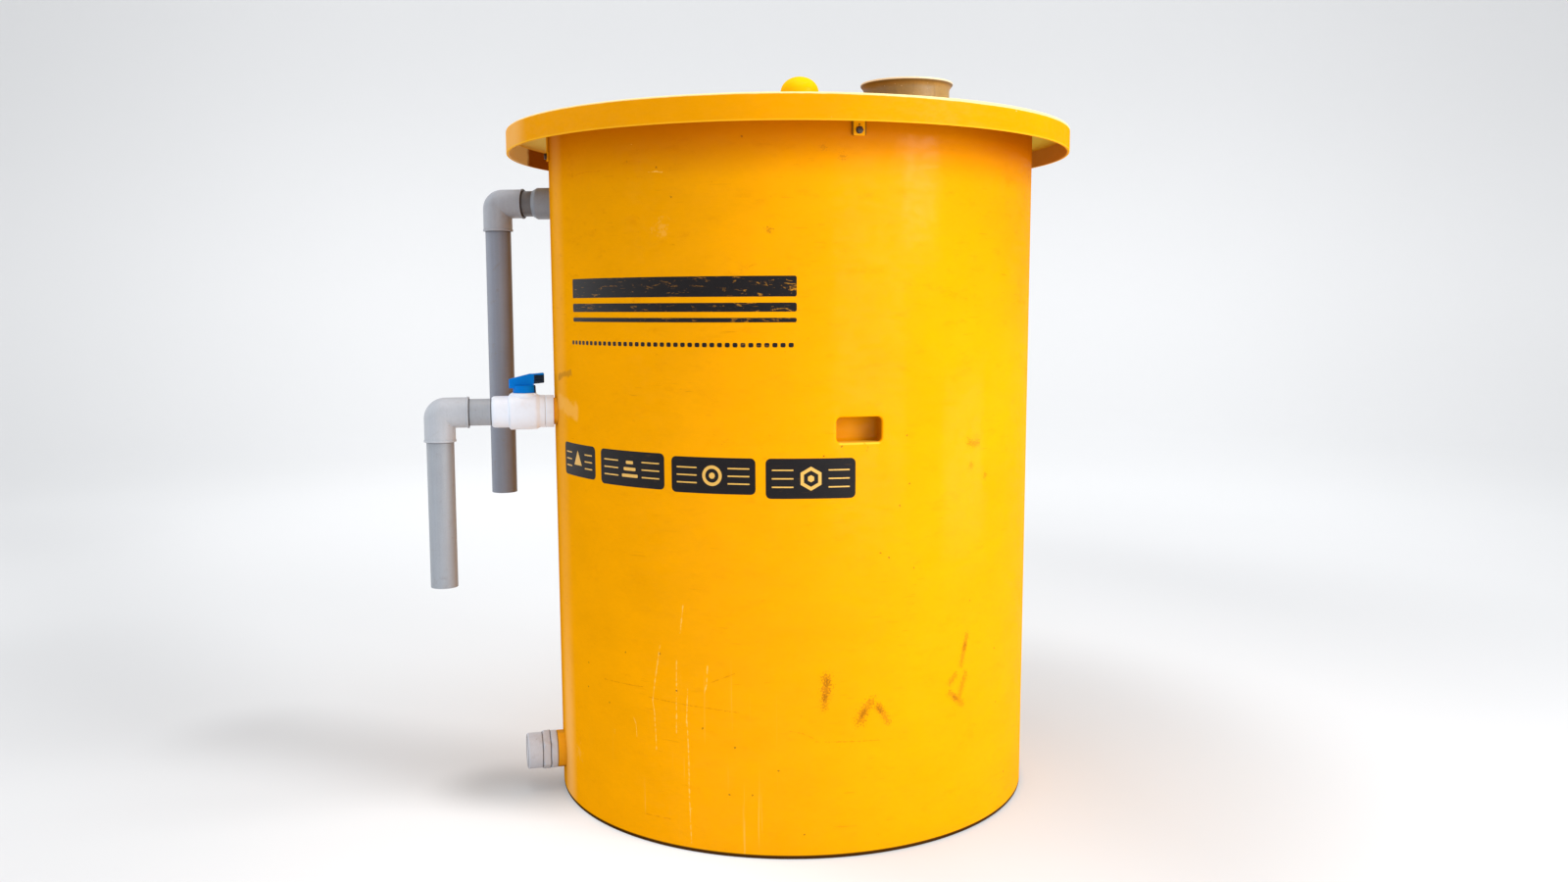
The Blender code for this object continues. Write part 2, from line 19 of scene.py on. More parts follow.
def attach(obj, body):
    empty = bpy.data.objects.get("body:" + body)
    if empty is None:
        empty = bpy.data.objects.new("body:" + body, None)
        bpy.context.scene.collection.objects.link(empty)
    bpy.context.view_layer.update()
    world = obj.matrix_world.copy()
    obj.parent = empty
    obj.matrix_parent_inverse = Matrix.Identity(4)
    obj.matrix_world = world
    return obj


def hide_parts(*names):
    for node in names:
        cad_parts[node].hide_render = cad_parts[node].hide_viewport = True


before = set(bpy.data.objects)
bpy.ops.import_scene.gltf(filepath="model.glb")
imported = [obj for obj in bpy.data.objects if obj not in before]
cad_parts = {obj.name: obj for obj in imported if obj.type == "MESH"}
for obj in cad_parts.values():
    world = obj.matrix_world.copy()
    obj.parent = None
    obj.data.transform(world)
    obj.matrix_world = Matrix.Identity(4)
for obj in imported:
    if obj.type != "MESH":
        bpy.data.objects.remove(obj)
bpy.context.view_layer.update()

LOG = logging.getLogger("digester")
MAIN_BODY = "digester"
HANDLE_BODY = "handle"
GAP = 0.0003
HAIR = 0.0001
PRECISE = 0.00001
WELD = 0.00002
EDGE = 0.0005
PIPE_SIDES = 64
BOLT_SIDES = 24
TANK_SIDES = 192

Point = tuple[float, float]
Corner = tuple[float, float, float]
Colour = tuple[float, float, float]
Joint = tuple[Corner, float]
Operand = Union["Signal", float, int]
Coat = tuple["Signal", float, float, Operand, Union["Signal", Colour]]


class Slot(Enum):
    """Material slots of the record, one listed with each piece."""

    TANK = "tank_shell"
    LID = "lid_shell"
    BRACKET = "bracket_yellow"
    STEEL = "bolt_steel"
    PIPE = "pipe_grey"
    INLET = "inlet_ochre"
    VALVE = "valve_white"
    HANDLE = "handle_blue"
    FITTING = "fitting_grey"


class Signal:
    """A shader socket, wrapped so that an expression on it adds the Math nodes it needs."""

    def __init__(self, shader: "Shader", socket: bpy.types.NodeSocket) -> None:
        """Wraps an output socket of one shader."""
        self.shader = shader
        self.socket = socket

    def math(self, operation: str, *operands: Operand) -> "Signal":
        """Adds a Math node on this value.

        Args:
            operation: The Math node's operation.
            *operands: All of its values, in order.

        Returns:
            The node's result.
        """
        return self.shader.node("ShaderNodeMath", {"operation": operation}, dict(enumerate(operands)))

    def other(self, name: str) -> "Signal":
        """Returns another output of the same node."""
        return Signal(self.shader, self.socket.node.outputs[name])

    def __add__(self, other: Operand) -> "Signal":
        """Adds."""
        return self.math("ADD", self, other)

    def __radd__(self, other: Operand) -> "Signal":
        """Adds to a number."""
        return self.math("ADD", other, self)

    def __sub__(self, other: Operand) -> "Signal":
        """Subtracts."""
        return self.math("SUBTRACT", self, other)

    def __rsub__(self, other: Operand) -> "Signal":
        """Subtracts from a number."""
        return self.math("SUBTRACT", other, self)

    def __mul__(self, other: Operand) -> "Signal":
        """Multiplies."""
        return self.math("MULTIPLY", self, other)

    def __rmul__(self, other: Operand) -> "Signal":
        """Multiplies a number."""
        return self.math("MULTIPLY", other, self)

    def __truediv__(self, other: Operand) -> "Signal":
        """Divides."""
        return self.math("DIVIDE", self, other)

    def __neg__(self) -> "Signal":
        """Changes the sign."""
        return self.math("MULTIPLY", self, -1.0)

    def __abs__(self) -> "Signal":
        """Takes the size without the sign."""
        return self.math("ABSOLUTE", self)

    def least(self, other: Operand) -> "Signal":
        """Takes the smaller of two values."""
        return self.math("MINIMUM", self, other)

    def most(self, other: Operand) -> "Signal":
        """Takes the larger of two values."""
        return self.math("MAXIMUM", self, other)

    def sway(self, share: float) -> "Signal":
        """Swings to both sides of 0 by a share, where this is a noise."""
        return (self - 0.5) * share


class Shader:
    """Builds the nodes of one material round its Principled shader."""

    def __init__(self, name: str) -> None:
        """Makes an empty material.

        Args:
            name: The material's name.
        """
        self.material = bpy.data.materials.new(name)
        self.material.use_nodes = True
        self.tree = self.material.node_tree
        self.principled = self.tree.nodes["Principled BSDF"]

    def node(
        self,
        kind: str,
        settings: Optional[dict[str, Any]] = None,
        inputs: Optional[dict[Union[str, int], Any]] = None,
        output: int = 0,
    ) -> Signal:
        """Adds one node, sets it and joins its inputs.

        Args:
            kind: The node's type.
            settings: The node's properties, such as a Math node's operation.
            inputs: A value or a signal for each input, by its name or number.
            output: Number of the output to return.

        Returns:
            The wrapped output.
        """
        node = self.tree.nodes.new(kind)
        for name, value in (settings or {}).items():
            setattr(node, name, value)
        for name, value in (inputs or {}).items():
            if isinstance(value, Signal):
                self.tree.links.new(value.socket, node.inputs[name])
            else:
                node.inputs[name].default_value = value
        return Signal(self, node.outputs[output])

    def place(self) -> Signal:
        """Returns the point on the piece, in the frame's axes."""
        return self.node("ShaderNodeTexCoord", output=3)

    def split(self, vector: Signal) -> tuple[Signal, Signal, Signal]:
        """Splits a vector into its three values."""
        x = self.node("ShaderNodeSeparateXYZ", inputs={0: vector})
        return x, x.other("Y"), x.other("Z")

    def vector(self, x: Operand, y: Operand, z: Operand) -> Signal:
        """Joins three values into a vector."""
        return self.node("ShaderNodeCombineXYZ", inputs={0: x, 1: y, 2: z})

    def vectors(self, operation: str, first: Any, second: Any) -> Signal:
        """Adds a Vector Math node on two vectors, and returns its vector, or its value where it has one."""
        output = 1 if operation in ("DOT_PRODUCT", "DISTANCE") else 0
        return self.node("ShaderNodeVectorMath", {"operation": operation}, {0: first, 1: second}, output)

    def distance(self, first: Signal, second: Any) -> Signal:
        """Measures how far apart two points are."""
        return self.vectors("DISTANCE", first, second)

    def stretch(self, vector: Signal, x: float, y: float, z: float) -> Signal:
        """Scales a vector by a factor along each axis."""
        return self.vectors("MULTIPLY", vector, (x, y, z))

    def level(self, place: Signal) -> Signal:
        """Brings a point down to the ground, to measure across it."""
        return self.stretch(place, 1.0, 1.0, 0.0)

    def noise(
        self, vector: Signal, scale: float, detail: float = 2.0, roughness: float = 0.5, warp: float = 0.0,
    ) -> Signal:
        """Adds a noise texture.

        Args:
            vector: Where it is read.
            scale: Cells in a metre.
            detail: Octaves of finer noise.
            roughness: Strength of the finer octaves.
            warp: Distortion.

        Returns:
            Its value, about 0.5 on average.
        """
        values = {"Vector": vector, "Scale": scale, "Detail": detail, "Roughness": roughness}
        return self.node("ShaderNodeTexNoise", inputs={**values, "Distortion": warp})

    def smooth(self, value: Signal, low: float, high: float) -> Signal:
        """Rises smoothly from 0 at low to 1 at high, or falls where low is the higher.

        Args:
            value: What it rises with.
            low: Where it is 0.
            high: Where it is 1.

        Returns:
            The rise.
        """
        settings = {"interpolation_type": "SMOOTHSTEP", "clamp": True}
        if low < high:
            return self.node("ShaderNodeMapRange", settings, {0: value, 1: low, 2: high})
        return self.node("ShaderNodeMapRange", settings, {0: value, 1: high, 2: low, 3: 1.0, 4: 0.0})

    def mix(self, factor: Operand, first: Union[Signal, Colour], second: Union[Signal, Colour]) -> Signal:
        """Mixes two colours.

        Args:
            factor: Share of the second colour.
            first: Colour at 0.
            second: Colour at 1.

        Returns:
            The mixed colour.
        """
        first = first if isinstance(first, Signal) else (*first, 1.0)
        second = second if isinstance(second, Signal) else (*second, 1.0)
        return self.node("ShaderNodeMix", {"data_type": "RGBA"}, {0: factor, 6: first, 7: second}, output=2)

    def lay(self, colour: Signal, *coats: Coat) -> Signal:
        """Lays coats of other colours over a colour.

        Args:
            colour: The colour under them.
            *coats: For each, a value, where the coat starts and where it is full on it, its strength and
                its colour.

        Returns:
            The covered colour.
        """
        for value, low, high, strength, tint in coats:
            colour = self.mix(self.smooth(value, low, high) * strength, colour, tint)
        return colour

    def scale(self, vector: Union[Signal, Colour], factor: Signal) -> Signal:
        """Multiplies a colour or another vector by a number."""
        return self.node("ShaderNodeVectorMath", {"operation": "SCALE"}, {0: vector, 3: factor})

    def dots(self, vector: Signal, scale: float, size: float, share: float) -> Signal:
        """Scatters small round dots.

        Args:
            vector: Where the pattern is read.
            scale: Cells in a metre.
            size: A dot's radius, in cells.
            share: Share of the cells that hold a dot.

        Returns:
            1 inside a dot and 0 outside.
        """
        cell = self.node("ShaderNodeTexVoronoi", inputs={"Vector": vector, "Scale": scale})
        chosen = self.smooth(self.split(cell.other("Color"))[0], 1.0 - share - 0.01, 1.0 - share + 0.01)
        return self.smooth(cell, size, 0.45 * size) * chosen

    def nearest(self, place: Signal, points: Sequence[Point]) -> Signal:
        """Measures how far a surface point, as (u, v, 0), is from the nearest of some points."""
        return reduce(Signal.least, [self.distance(place, (*point, 0.0)) for point in points])

    def beside(self, place: Signal, corners: Sequence[Point]) -> Signal:
        """Measures how far a surface point is from a line.

        Args:
            place: The surface point, as (u, v, 0).
            corners: The line's ends and corners, as (u, v).

        Returns:
            The distance to the line.
        """
        distances = []
        for (u, v), (end_u, end_v) in zip(corners, corners[1:]):
            du, dv = end_u - u, end_v - v
            square = du * du + dv * dv
            offset = self.vectors("SUBTRACT", place, (u, v, 0.0))
            along = self.vectors("DOT_PRODUCT", offset, (du / square, dv / square, 0.0))
            foot = self.scale((du, dv, 0.0), along.most(0.0).least(1.0))
            distances.append(self.distance(offset, foot))
        return reduce(Signal.least, distances)

    def finish(
        self,
        colour: Union[Signal, Colour],
        roughness: Operand,
        height: Optional[Signal] = None,
        relief: float = 0.0005,
        glow: Optional[Signal] = None,
        coat: Optional[Signal] = None,
        **constants: Any,
    ) -> None:
        """Joins the patterns to the Principled shader.

        Args:
            colour: Base colour.
            roughness: Roughness.
            height: Height of the surface's relief, from 0 to 1.
            relief: What a height of 1 stands for, in metres.
            glow: Colour of the light it gives off.
            coat: Weight of its clear coat.
            **constants: Other inputs of the shader, with underscores for the spaces in their names.
        """
        inputs = self.principled.inputs
        varying = {"Base Color": colour, "Roughness": roughness, "Emission Color": glow, "Coat Weight": coat}
        for name, value in varying.items():
            if isinstance(value, Signal):
                self.tree.links.new(value.socket, inputs[name])
            elif value is not None:
                inputs[name].default_value = (*value, 1.0) if isinstance(value, tuple) else value
        if height is not None:
            bump = self.node("ShaderNodeBump", inputs={"Strength": 1.0, "Distance": relief, "Height": height})
            self.tree.links.new(bump.socket, inputs["Normal"])
        for name, value in constants.items():
            inputs[name.replace("_", " ")].default_value = value


def choose(*pieces: bpy.types.Object) -> None:
    """Leaves edit mode and selects these pieces alone, with the first one active.

    Args:
        *pieces: The objects.
    """
    if bpy.context.mode != "OBJECT":
        bpy.ops.object.mode_set(mode="OBJECT")
    bpy.ops.object.select_all(action="DESELECT")
    for piece in pieces:
        piece.select_set(True)
    if pieces:
        bpy.context.view_layer.objects.active = pieces[0]


class Bench:
    """Shapes one mesh object in edit mode, as by hand."""

    def __init__(self, name: str) -> None:
        """Takes the object that has just been added, and leaves it at the origin.

        Args:
            name: The piece's name.
        """
        self.object = bpy.context.active_object
        self.object.name = name
        self.object.data.name = name
        bpy.ops.object.transform_apply()
        bpy.ops.object.mode_set(mode="EDIT")

    @classmethod
    def box(cls, name: str, low: Sequence[float], high: Sequence[float]) -> "Bench":
        """Adds a box between two corners.

        Args:
            name: The piece's name.
            low: Its lowest corner.
            high: Its highest corner.

        Returns:
            The bench with the box on it.
        """
        choose()
        low, high = Vector(low), Vector(high)
        bpy.ops.mesh.primitive_cube_add(size=1.0, location=(low + high) / 2.0, scale=high - low)
        return cls(name)

    @classmethod
    def drum(cls, name: str, radius: float, bottom: float, top: float, sides: int) -> "Bench":
        """Adds a closed cylinder or prism between two heights.

        Args:
            name: The piece's name.
            radius: Its radius.
            bottom: Height of its lower end.
            top: Height of its upper end.
            sides: Its number of sides.

        Returns:
            The bench with the drum on it.
        """
        choose()
        bpy.ops.mesh.primitive_cylinder_add(
            vertices=sides, radius=radius, depth=top - bottom, location=(0.0, 0.0, (bottom + top) / 2.0),
        )
        return cls(name)

    def select(self, kind: str, test: Callable[[Any], bool], add: bool = False) -> None:
        """Selects vertices, edges or faces by their place.

        Args:
            kind: "VERT", "EDGE" or "FACE".
            test: Says whether an element is selected.
            add: Whether what was selected stays so.
        """
        if not add:
            bpy.ops.mesh.select_all(action="DESELECT")
        bpy.ops.mesh.select_mode(type=kind)
        mesh = bmesh.from_edit_mesh(self.object.data)
        for element in {"VERT": mesh.verts, "EDGE": mesh.edges, "FACE": mesh.faces}[kind]:
            if test(element):
                element.select_set(True)
        mesh.select_flush_mode()
        bmesh.update_edit_mesh(self.object.data)

    def edges(self, test: Callable[[Vector], bool], axis: int = 0, reach: float = -1.0) -> None:
        """Selects the edges whose ends both pass a test.

        Args:
            test: Says whether the place of an end passes.
            axis: Number of an axis that they run along.
            reach: How far they reach along it at the least.
        """
        self.select("EDGE", lambda edge: all(test(vertex.co) for vertex in edge.verts)
                    and abs(edge.verts[0].co[axis] - edge.verts[1].co[axis]) > reach)

    def select_all(self) -> None:
        """Selects the whole mesh."""
        bpy.ops.mesh.select_mode(type="VERT")
        bpy.ops.mesh.select_all(action="SELECT")

    def turn_faces(self, inside: bool = False) -> None:
        """Turns every face outward, or inward."""
        self.select_all()
        bpy.ops.mesh.normals_make_consistent(inside=inside)

    def move(self, x: float = 0.0, y: float = 0.0, z: float = 0.0) -> None:
        """Moves what is selected."""
        bpy.ops.transform.translate(value=(x, y, z))

    def extrude(self, x: float = 0.0, y: float = 0.0, z: float = 0.0) -> None:
        """Extrudes what is selected and moves it."""
        bpy.ops.mesh.extrude_region_move(TRANSFORM_OT_translate={"value": (x, y, z)})

    def resize(self, x: float, y: float, z: float, centre: Vector) -> None:
        """Scales what is selected about a centre."""
        bpy.ops.transform.resize(value=(x, y, z), center_override=centre)

    def bevel(self, width: float, steps: int) -> None:
        """Rounds the selected edges."""
        bpy.ops.mesh.bevel(offset=width, segments=steps, affect="EDGES", clamp_overlap=True)

    def cut(self, place: Vector, normal: Vector) -> None:
        """Cuts the selected faces along a plane."""
        bpy.ops.mesh.bisect(plane_co=place, plane_no=normal, threshold=0.000001)

    def drop(self) -> None:
        """Deletes the selected vertices and the faces on them."""
        bpy.ops.mesh.delete(type="VERT")

    def put(self, matrix: Matrix) -> "Bench":
        """Puts the piece where a matrix says, with its object left at the origin.

        Args:
            matrix: The place.

        Returns:
            This bench.
        """
        self.raw().matrix_world = matrix
        bpy.ops.object.transform_apply()
        bpy.ops.object.mode_set(mode="EDIT")
        return self

    def modify(self, kind: str, **settings: Any) -> None:
        """Adds a modifier and applies it.

        Args:
            kind: The modifier's type.
            **settings: Its properties.
        """
        modifier = self.raw().modifiers.new(kind.lower(), kind)
        for name, value in settings.items():
            setattr(modifier, name, value)
        bpy.ops.object.modifier_apply(modifier=modifier.name)
        bpy.ops.object.mode_set(mode="EDIT")

    def combine(self, operation: str, *others: bpy.types.Object) -> "Bench":
        """Cuts the piece by other objects, or joins or meets it with them, and removes them.

        Args:
            operation: "DIFFERENCE", "UNION" or "INTERSECT".
            *others: The other objects.

        Returns:
            This bench.
        """
        for other in others:
            self.modify("BOOLEAN", operation=operation, solver="EXACT", object=other)
            bpy.data.objects.remove(other)
        return self

    def raw(self) -> bpy.types.Object:
        """Leaves edit mode and returns the object as it is, alone selected."""
        choose(self.object)
        return self.object

    def done(self, angle: float = 30.0) -> bpy.types.Object:
        """Welds the piece, turns its faces outward and shades it.

        Args:
            angle: Edges that turn by more than this many degrees stay sharp.

        Returns:
            The finished object.
        """
        self.select_all()
        bpy.ops.mesh.remove_doubles(threshold=WELD)
        self.turn_faces()
        self.raw()
        bpy.ops.object.shade_smooth_by_angle(angle=math.radians(angle))
        return self.object


class Sweep(Bench):
    """A surface drawn by one ring of edges, which is extruded and resized as it goes."""

    def __init__(self, name: str, radius: float, height: float, sides: int) -> None:
        """Starts with a ring round the Z axis, which travels up or down that axis.

        Args:
            name: The piece's name.
            radius: The ring's radius.
            height: The ring's height.
            sides: Its number of edges.
        """
        choose()
        bpy.ops.mesh.primitive_circle_add(vertices=sides, radius=radius, location=(0.0, 0.0, height))
        super().__init__(name)
        self.select_all()
        self.radius, self.height = radius, height
        self.start = (radius, height)

    def follow(self, profile: Sequence[Point]) -> None:
        """Extrudes the ring through the points of a profile.

        Args:
            profile: The points, as (radius, height).
        """
        for radius, height in profile:
            self.extrude(z=height - self.height)
            factor = radius / self.radius
            self.resize(factor, factor, 1.0, Vector((0.0, 0.0, height)))
            self.radius, self.height = radius, height

    def pole(self) -> None:
        """Closes the surface at the ring's centre."""
        bpy.ops.mesh.extrude_region_move()
        bpy.ops.mesh.merge(type="CENTER")

    def join_ends(self) -> None:
        """Bridges the last ring to the first, which makes a closed wall round an open bore."""
        self.select("VERT", self.at_start, add=True)
        bpy.ops.mesh.bridge_edge_loops()

    def at_start(self, vertex: Any) -> bool:
        """Says whether a vertex is on the first ring."""
        radius, height = self.start
        return abs(vertex.co.z - height) < PRECISE and abs(math.hypot(*vertex.co.xy) - radius) < PRECISE

    def pole_start(self) -> None:
        """Closes the surface at the centre of the first ring."""
        self.select("VERT", self.at_start)
        self.pole()


def spun(degrees: float, axis: str) -> Matrix:
    """Turn by some degrees about an axis."""
    return Matrix.Rotation(math.radians(degrees), 4, axis)


def rounded(profile: Sequence[Corner], steps: int = 4) -> list[Point]:
    """Rounds the corners of a closed profile.

    Args:
        profile: Corners as (radius, height, size of the rounding).
        steps: Number of edges in each rounding.

    Returns:
        The profile's points, as (radius, height).
    """
    points: list[Point] = []
    count = len(profile)
    for number, (radius, height, rounding) in enumerate(profile):
        corner = Vector((radius, height))
        if not rounding:
            points.append((radius, height))
            continue
        before = Vector(profile[number - 1][:2]) - corner
        after = Vector(profile[(number + 1) % count][:2]) - corner
        start, end = corner + before.normalized() * rounding, corner + after.normalized() * rounding
        for step in range(steps + 1):
            share = step / steps
            point = start * (1.0 - share) ** 2 + corner * 2.0 * share * (1.0 - share) + end * share ** 2
            points.append((point.x, point.y))
    return points


def turned(name: str, profile: Sequence[Corner], sides: int, steps: int = 4) -> Sweep:
    """Turns a closed profile round the Z axis, which makes a wall round an open bore.

    Args:
        name: The piece's name.
        profile: Corners as (radius, height, size of the rounding), in order round the wall.
        sides: Number of sides.
        steps: Number of edges in each rounding.

    Returns:
        The sweep, for more work or for its done().
    """
    points = rounded(profile, steps)
    sweep = Sweep(name, *points[0], sides)
    sweep.follow(points[1:])
    sweep.join_ends()
    return sweep


def capped(name: str, points: Sequence[Point], sides: int) -> Sweep:
    """Turns an open profile round the Z axis and closes it at both ends, which makes a solid.

    Args:
        name: The piece's name.
        points: The profile's points, as (radius, height), in order.
        sides: Number of sides.

    Returns:
        The sweep.
    """
    sweep = Sweep(name, *points[0], sides)
    sweep.follow(points[1:])
    sweep.pole()
    sweep.pole_start()
    return sweep


def tube(name: str, outer: float, inner: float, bottom: float, top: float) -> Sweep:
    """Makes a straight tube with rounded ends.

    Args:
        name: The piece's name.
        outer: Outer radius.
        inner: Inner radius.
        bottom: Height of its lower end.
        top: Height of its upper end.

    Returns:
        The sweep.
    """
    profile = [(outer, bottom, EDGE), (outer, top, EDGE), (inner, top, EDGE), (inner, bottom, EDGE)]
    return turned(name, profile, PIPE_SIDES, steps=2)


def publish(
    piece: bpy.types.Object, material: bpy.types.Material, slot: Optional[Slot], *nodes: str,
    body: str = MAIN_BODY,
) -> None:
    """Dresses a finished piece and ties it to the frame.

    Args:
        piece: The object.
        material: Its finish.
        slot: The record's slot, or None for a print; not used.
        *nodes: The solids that it stands for.
        body: The body it moves with.
    """
    piece.data.materials.clear()
    piece.data.materials.append(material)
    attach(piece, body)
    if nodes:
        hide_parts(*nodes)
    stands_for = ", ".join(nodes) or "a print"
    LOG.info("%s: %d faces, stands for %s", piece.name, len(piece.data.polygons), stands_for)


@dataclass(frozen=True)
class TankForm:
    """The tapered wall, which everything else sits on."""

    base_radius: float = 0.4415
    top_radius: float = 0.4466
    top: float = 1.2077
    wall: float = 0.006
    floor: float = 0.008
    unroll: float = 0.444

    def radius(self, z: float) -> float:
        """Outer radius at a height."""
        return self.base_radius + (self.top_radius - self.base_radius) * z / self.top

    @property
    def flare(self) -> float:
        """Gain in radius for each metre of height."""
        return (self.top_radius - self.base_radius) / self.top


TANK = TankForm()


@dataclass(frozen=True)
class Line:
    """A pipe line that leaves the tank's wall level."""

    azimuth: float
    height: float
    turn: float = 0.0

    def upright(self, distance: float = 0.0) -> Matrix:
        """Place on the line whose X axis points away from the tank and whose Z axis points up.

        Args:
            distance: Distance from the wall.

        Returns:
            The place.
        """
        radius, angle = TANK.radius(self.height), math.radians(self.azimuth)
        start = Matrix.Translation((radius * math.cos(angle), radius * math.sin(angle), self.height))
        heading = spun(self.azimuth + self.turn, "Z")
        return start @ heading @ Matrix.Translation((distance, 0.0, 0.0))

    def plane(self, distance: float) -> Joint:
        """Plane across the line at a distance, as its normal and its offset from the origin.

        Args:
            distance: Distance from the wall.

        Returns:
            The plane.
        """
        place = self.upright(distance)
        normal = place.to_3x3() @ Vector((1.0, 0.0, 0.0))
        return tuple(normal), normal.dot(place.translation)

    def along(self, distance: float = 0.0) -> Matrix:
        """Place on the line whose Z axis points away from the tank and whose X axis points down."""
        return self.upright(distance) @ spun(90.0, "Y")

    def spot(self, distance: float, down: float, aside: float) -> Corner:
        """Point beside the line, for a stain."""
        return tuple(self.along(distance) @ Vector((down, aside, 0.0)))


OVERFLOW = Line(161.0, 1.0953)
OUTLET = Line(182.5, 0.7105, -6.0)
DRAIN = Line(181.0, 0.0755)


@dataclass(frozen=True)
class PipeForm:
    """Sizes that the pipes and elbows of both lines share."""

    radius: float = 0.02415
    wall: float = 0.0025
    elbow_radius: float = 0.0273
    leg: float = 0.052
    corner: float = 0.038
    lip_radius: float = 0.02836
    lip: float = 0.004
    socket: float = 0.023
    inside: float = 0.030

    @property
    def bore(self) -> float:
        """Inner radius of a pipe."""
        return self.radius - self.wall

    @property
    def seat(self) -> float:
        """Inner radius of a socket."""
        return self.radius + GAP


PIPE = PipeForm()


@dataclass(frozen=True)
class Marks:
    """Scratches, scuffs, specks or painted reflections of one kind, at places on the wall as (u, v) from the
    pocket's side.
    """

    colour: Colour
    width: float
    strength: float
    lines: tuple[tuple[Point, ...], ...] = ()
    points: tuple[Point, ...] = ()
    breakup: float = 260.0
    ragged: float = 1.4


WALL_MARKS = (
    Marks((0.93, 0.58, 0.13), 0.0012, 0.60, (
        ((-0.3358, 0.3477), (-0.3469, 0.2899), (-0.3536, 0.2472), (-0.3501, 0.2277), (-0.3471, 0.1661)),
        ((-0.3051, 0.3218), (-0.3071, 0.1992)),
        ((-0.2852, 0.2765), (-0.2877, 0.2268), (-0.2847, 0.1757), (-0.2841, 0.0907), (-0.2816, 0.0154)),
        ((-0.2490, 0.3177), (-0.2510, 0.2866), (-0.2547, 0.2731)),
        ((-0.3988, 0.2156), (-0.3910, 0.2019), (-0.3894, 0.1784)),
        ((-0.4440, 0.1800), (-0.4440, 0.1720)),
        ((-0.2914, 0.4164), (-0.2976, 0.3686)),
        ((-0.3447, 1.1099), (-0.3296, 1.1103), (-0.3186, 1.1082)),
    ), (
        (-0.2897, 0.2256), (-0.2849, 0.1657), (-0.2824, 0.0909), (-0.2808, 0.0743), (-0.3785, 1.1552),
    ), 130.0, 3.0),
    Marks((0.62, 0.19, 0.002), 0.0014, 0.55, (
        ((-0.4700, 0.2633), (-0.3749, 0.2675)),
        ((-0.3622, 0.2525), (-0.2447, 0.2478), (-0.1968, 0.2445)),
        ((-0.2442, 0.2909), (-0.2031, 0.3088)),
        ((-0.3800, 0.0481), (-0.3211, 0.0499)),
        ((-0.1148, 0.2166), (-0.0926, 0.2124), (-0.0751, 0.2039)),
        ((-0.0719, 0.1980), (0.0374, 0.1932)),
        ((-0.5424, 1.1158), (-0.5134, 1.1199), (-0.4881, 1.1202), (-0.4547, 1.1192)),
        ((-0.3952, 1.1274), (-0.3782, 1.1301), (-0.3580, 1.1272)),
        ((-0.3893, 1.1022), (-0.3685, 1.1040), (-0.3565, 1.1026)),
        ((-0.1822, 0.9549), (-0.1721, 0.9601), (-0.1613, 0.9644)),
        ((0.0075, 0.6812), (0.0141, 0.6755), (0.0117, 0.6693)),
    ), (), 150.0, 2.2),
    Marks((0.46, 0.150, 0.006), 0.0125, 0.72, (
        ((-0.0538, 0.3036), (-0.0539, 0.2804)),
        ((0.0024, 0.2288), (0.0080, 0.2422), (0.0210, 0.2580)),
    ), (), 300.0, 2.8),
    Marks((0.48, 0.155, 0.006), 0.0085, 0.66, (
        ((0.2155, 0.3451), (0.2093, 0.3255), (0.2014, 0.2965)),
        ((0.1751, 0.2523), (0.1890, 0.2413), (0.2053, 0.2278)),
        ((-0.0539, 0.2804), (-0.0575, 0.2545)),
        ((0.2122, 0.2800), (0.1955, 0.2349)),
        ((0.1873, 0.2811), (0.1758, 0.2696)),
        ((0.2139, 0.6728), (0.2269, 0.6686), (0.2373, 0.6703)),
        ((0.0351, 0.2495), (0.0511, 0.2231)),
    ), (
        (0.2198, 0.6330), (0.2586, 0.6128), (-0.0596, 1.1411), (-0.0290, 1.1267), (-0.1428, 1.0148),
    ), 380.0, 2.8),
    Marks((0.34, 0.110, 0.006), 0.0068, 0.80, (
        ((-0.0524, 0.2990), (-0.0530, 0.2930)), ((-0.0560, 0.2730), (-0.0572, 0.2690)),
        ((0.0060, 0.2370), (0.0100, 0.2440)), ((0.0330, 0.2480), (0.0380, 0.2420)),
        ((0.2110, 0.3300), (0.2090, 0.3230)), ((0.1850, 0.2440), (0.1900, 0.2400)),
    ), (), 520.0, 2.6),
    # Painted reflections beside the valve: a pale band of its body, and a dark band of its handle above it.
    Marks((0.95, 0.55, 0.16), 0.0300, 0.32, (((-0.6437, 0.7300), (-0.5491, 0.7180)),), (), 40.0, 0.6),
    Marks((0.34, 0.14, 0.020), 0.0120, 0.50, (((-0.6409, 0.7734), (-0.5678, 0.7853)),), (), 60.0, 1.0),
    Marks((0.90, 0.48, 0.10), 0.0200, 0.24, (), ((-0.3220, 1.0200), (-0.5700, 0.1050)), 90.0, 2.4),
    Marks((0.24, 0.075, 0.008), 0.0030, 0.85, (), (
        (-0.4127, 0.3201), (-0.5202, 0.2813), (-0.5237, 0.2377), (-0.4573, 0.2245), (-0.3057, 0.2708),
        (-0.2588, 0.2136), (-0.2034, 0.1856), (-0.2132, 0.1057), (-0.1745, 0.1078), (-0.0896, 0.0422),
        (-0.1317, 0.1504), (-0.3381, 0.3293), (0.3083, 0.2079), (0.2986, 0.3055), (0.3461, 0.0696),
        (0.2221, 0.4035), (0.0971, 0.4740), (0.0507, 0.4947), (0.0820, 0.6917), (0.0867, 0.6126),
        (0.0694, 0.5781), (0.0364, 0.5036), (-0.0297, 0.6775), (-0.0584, 0.6625), (-0.1847, 1.1579),
        (-0.3295, 1.1170), (-0.3031, 1.0695), (-0.3887, 1.1292),
    ), 400.0),
)


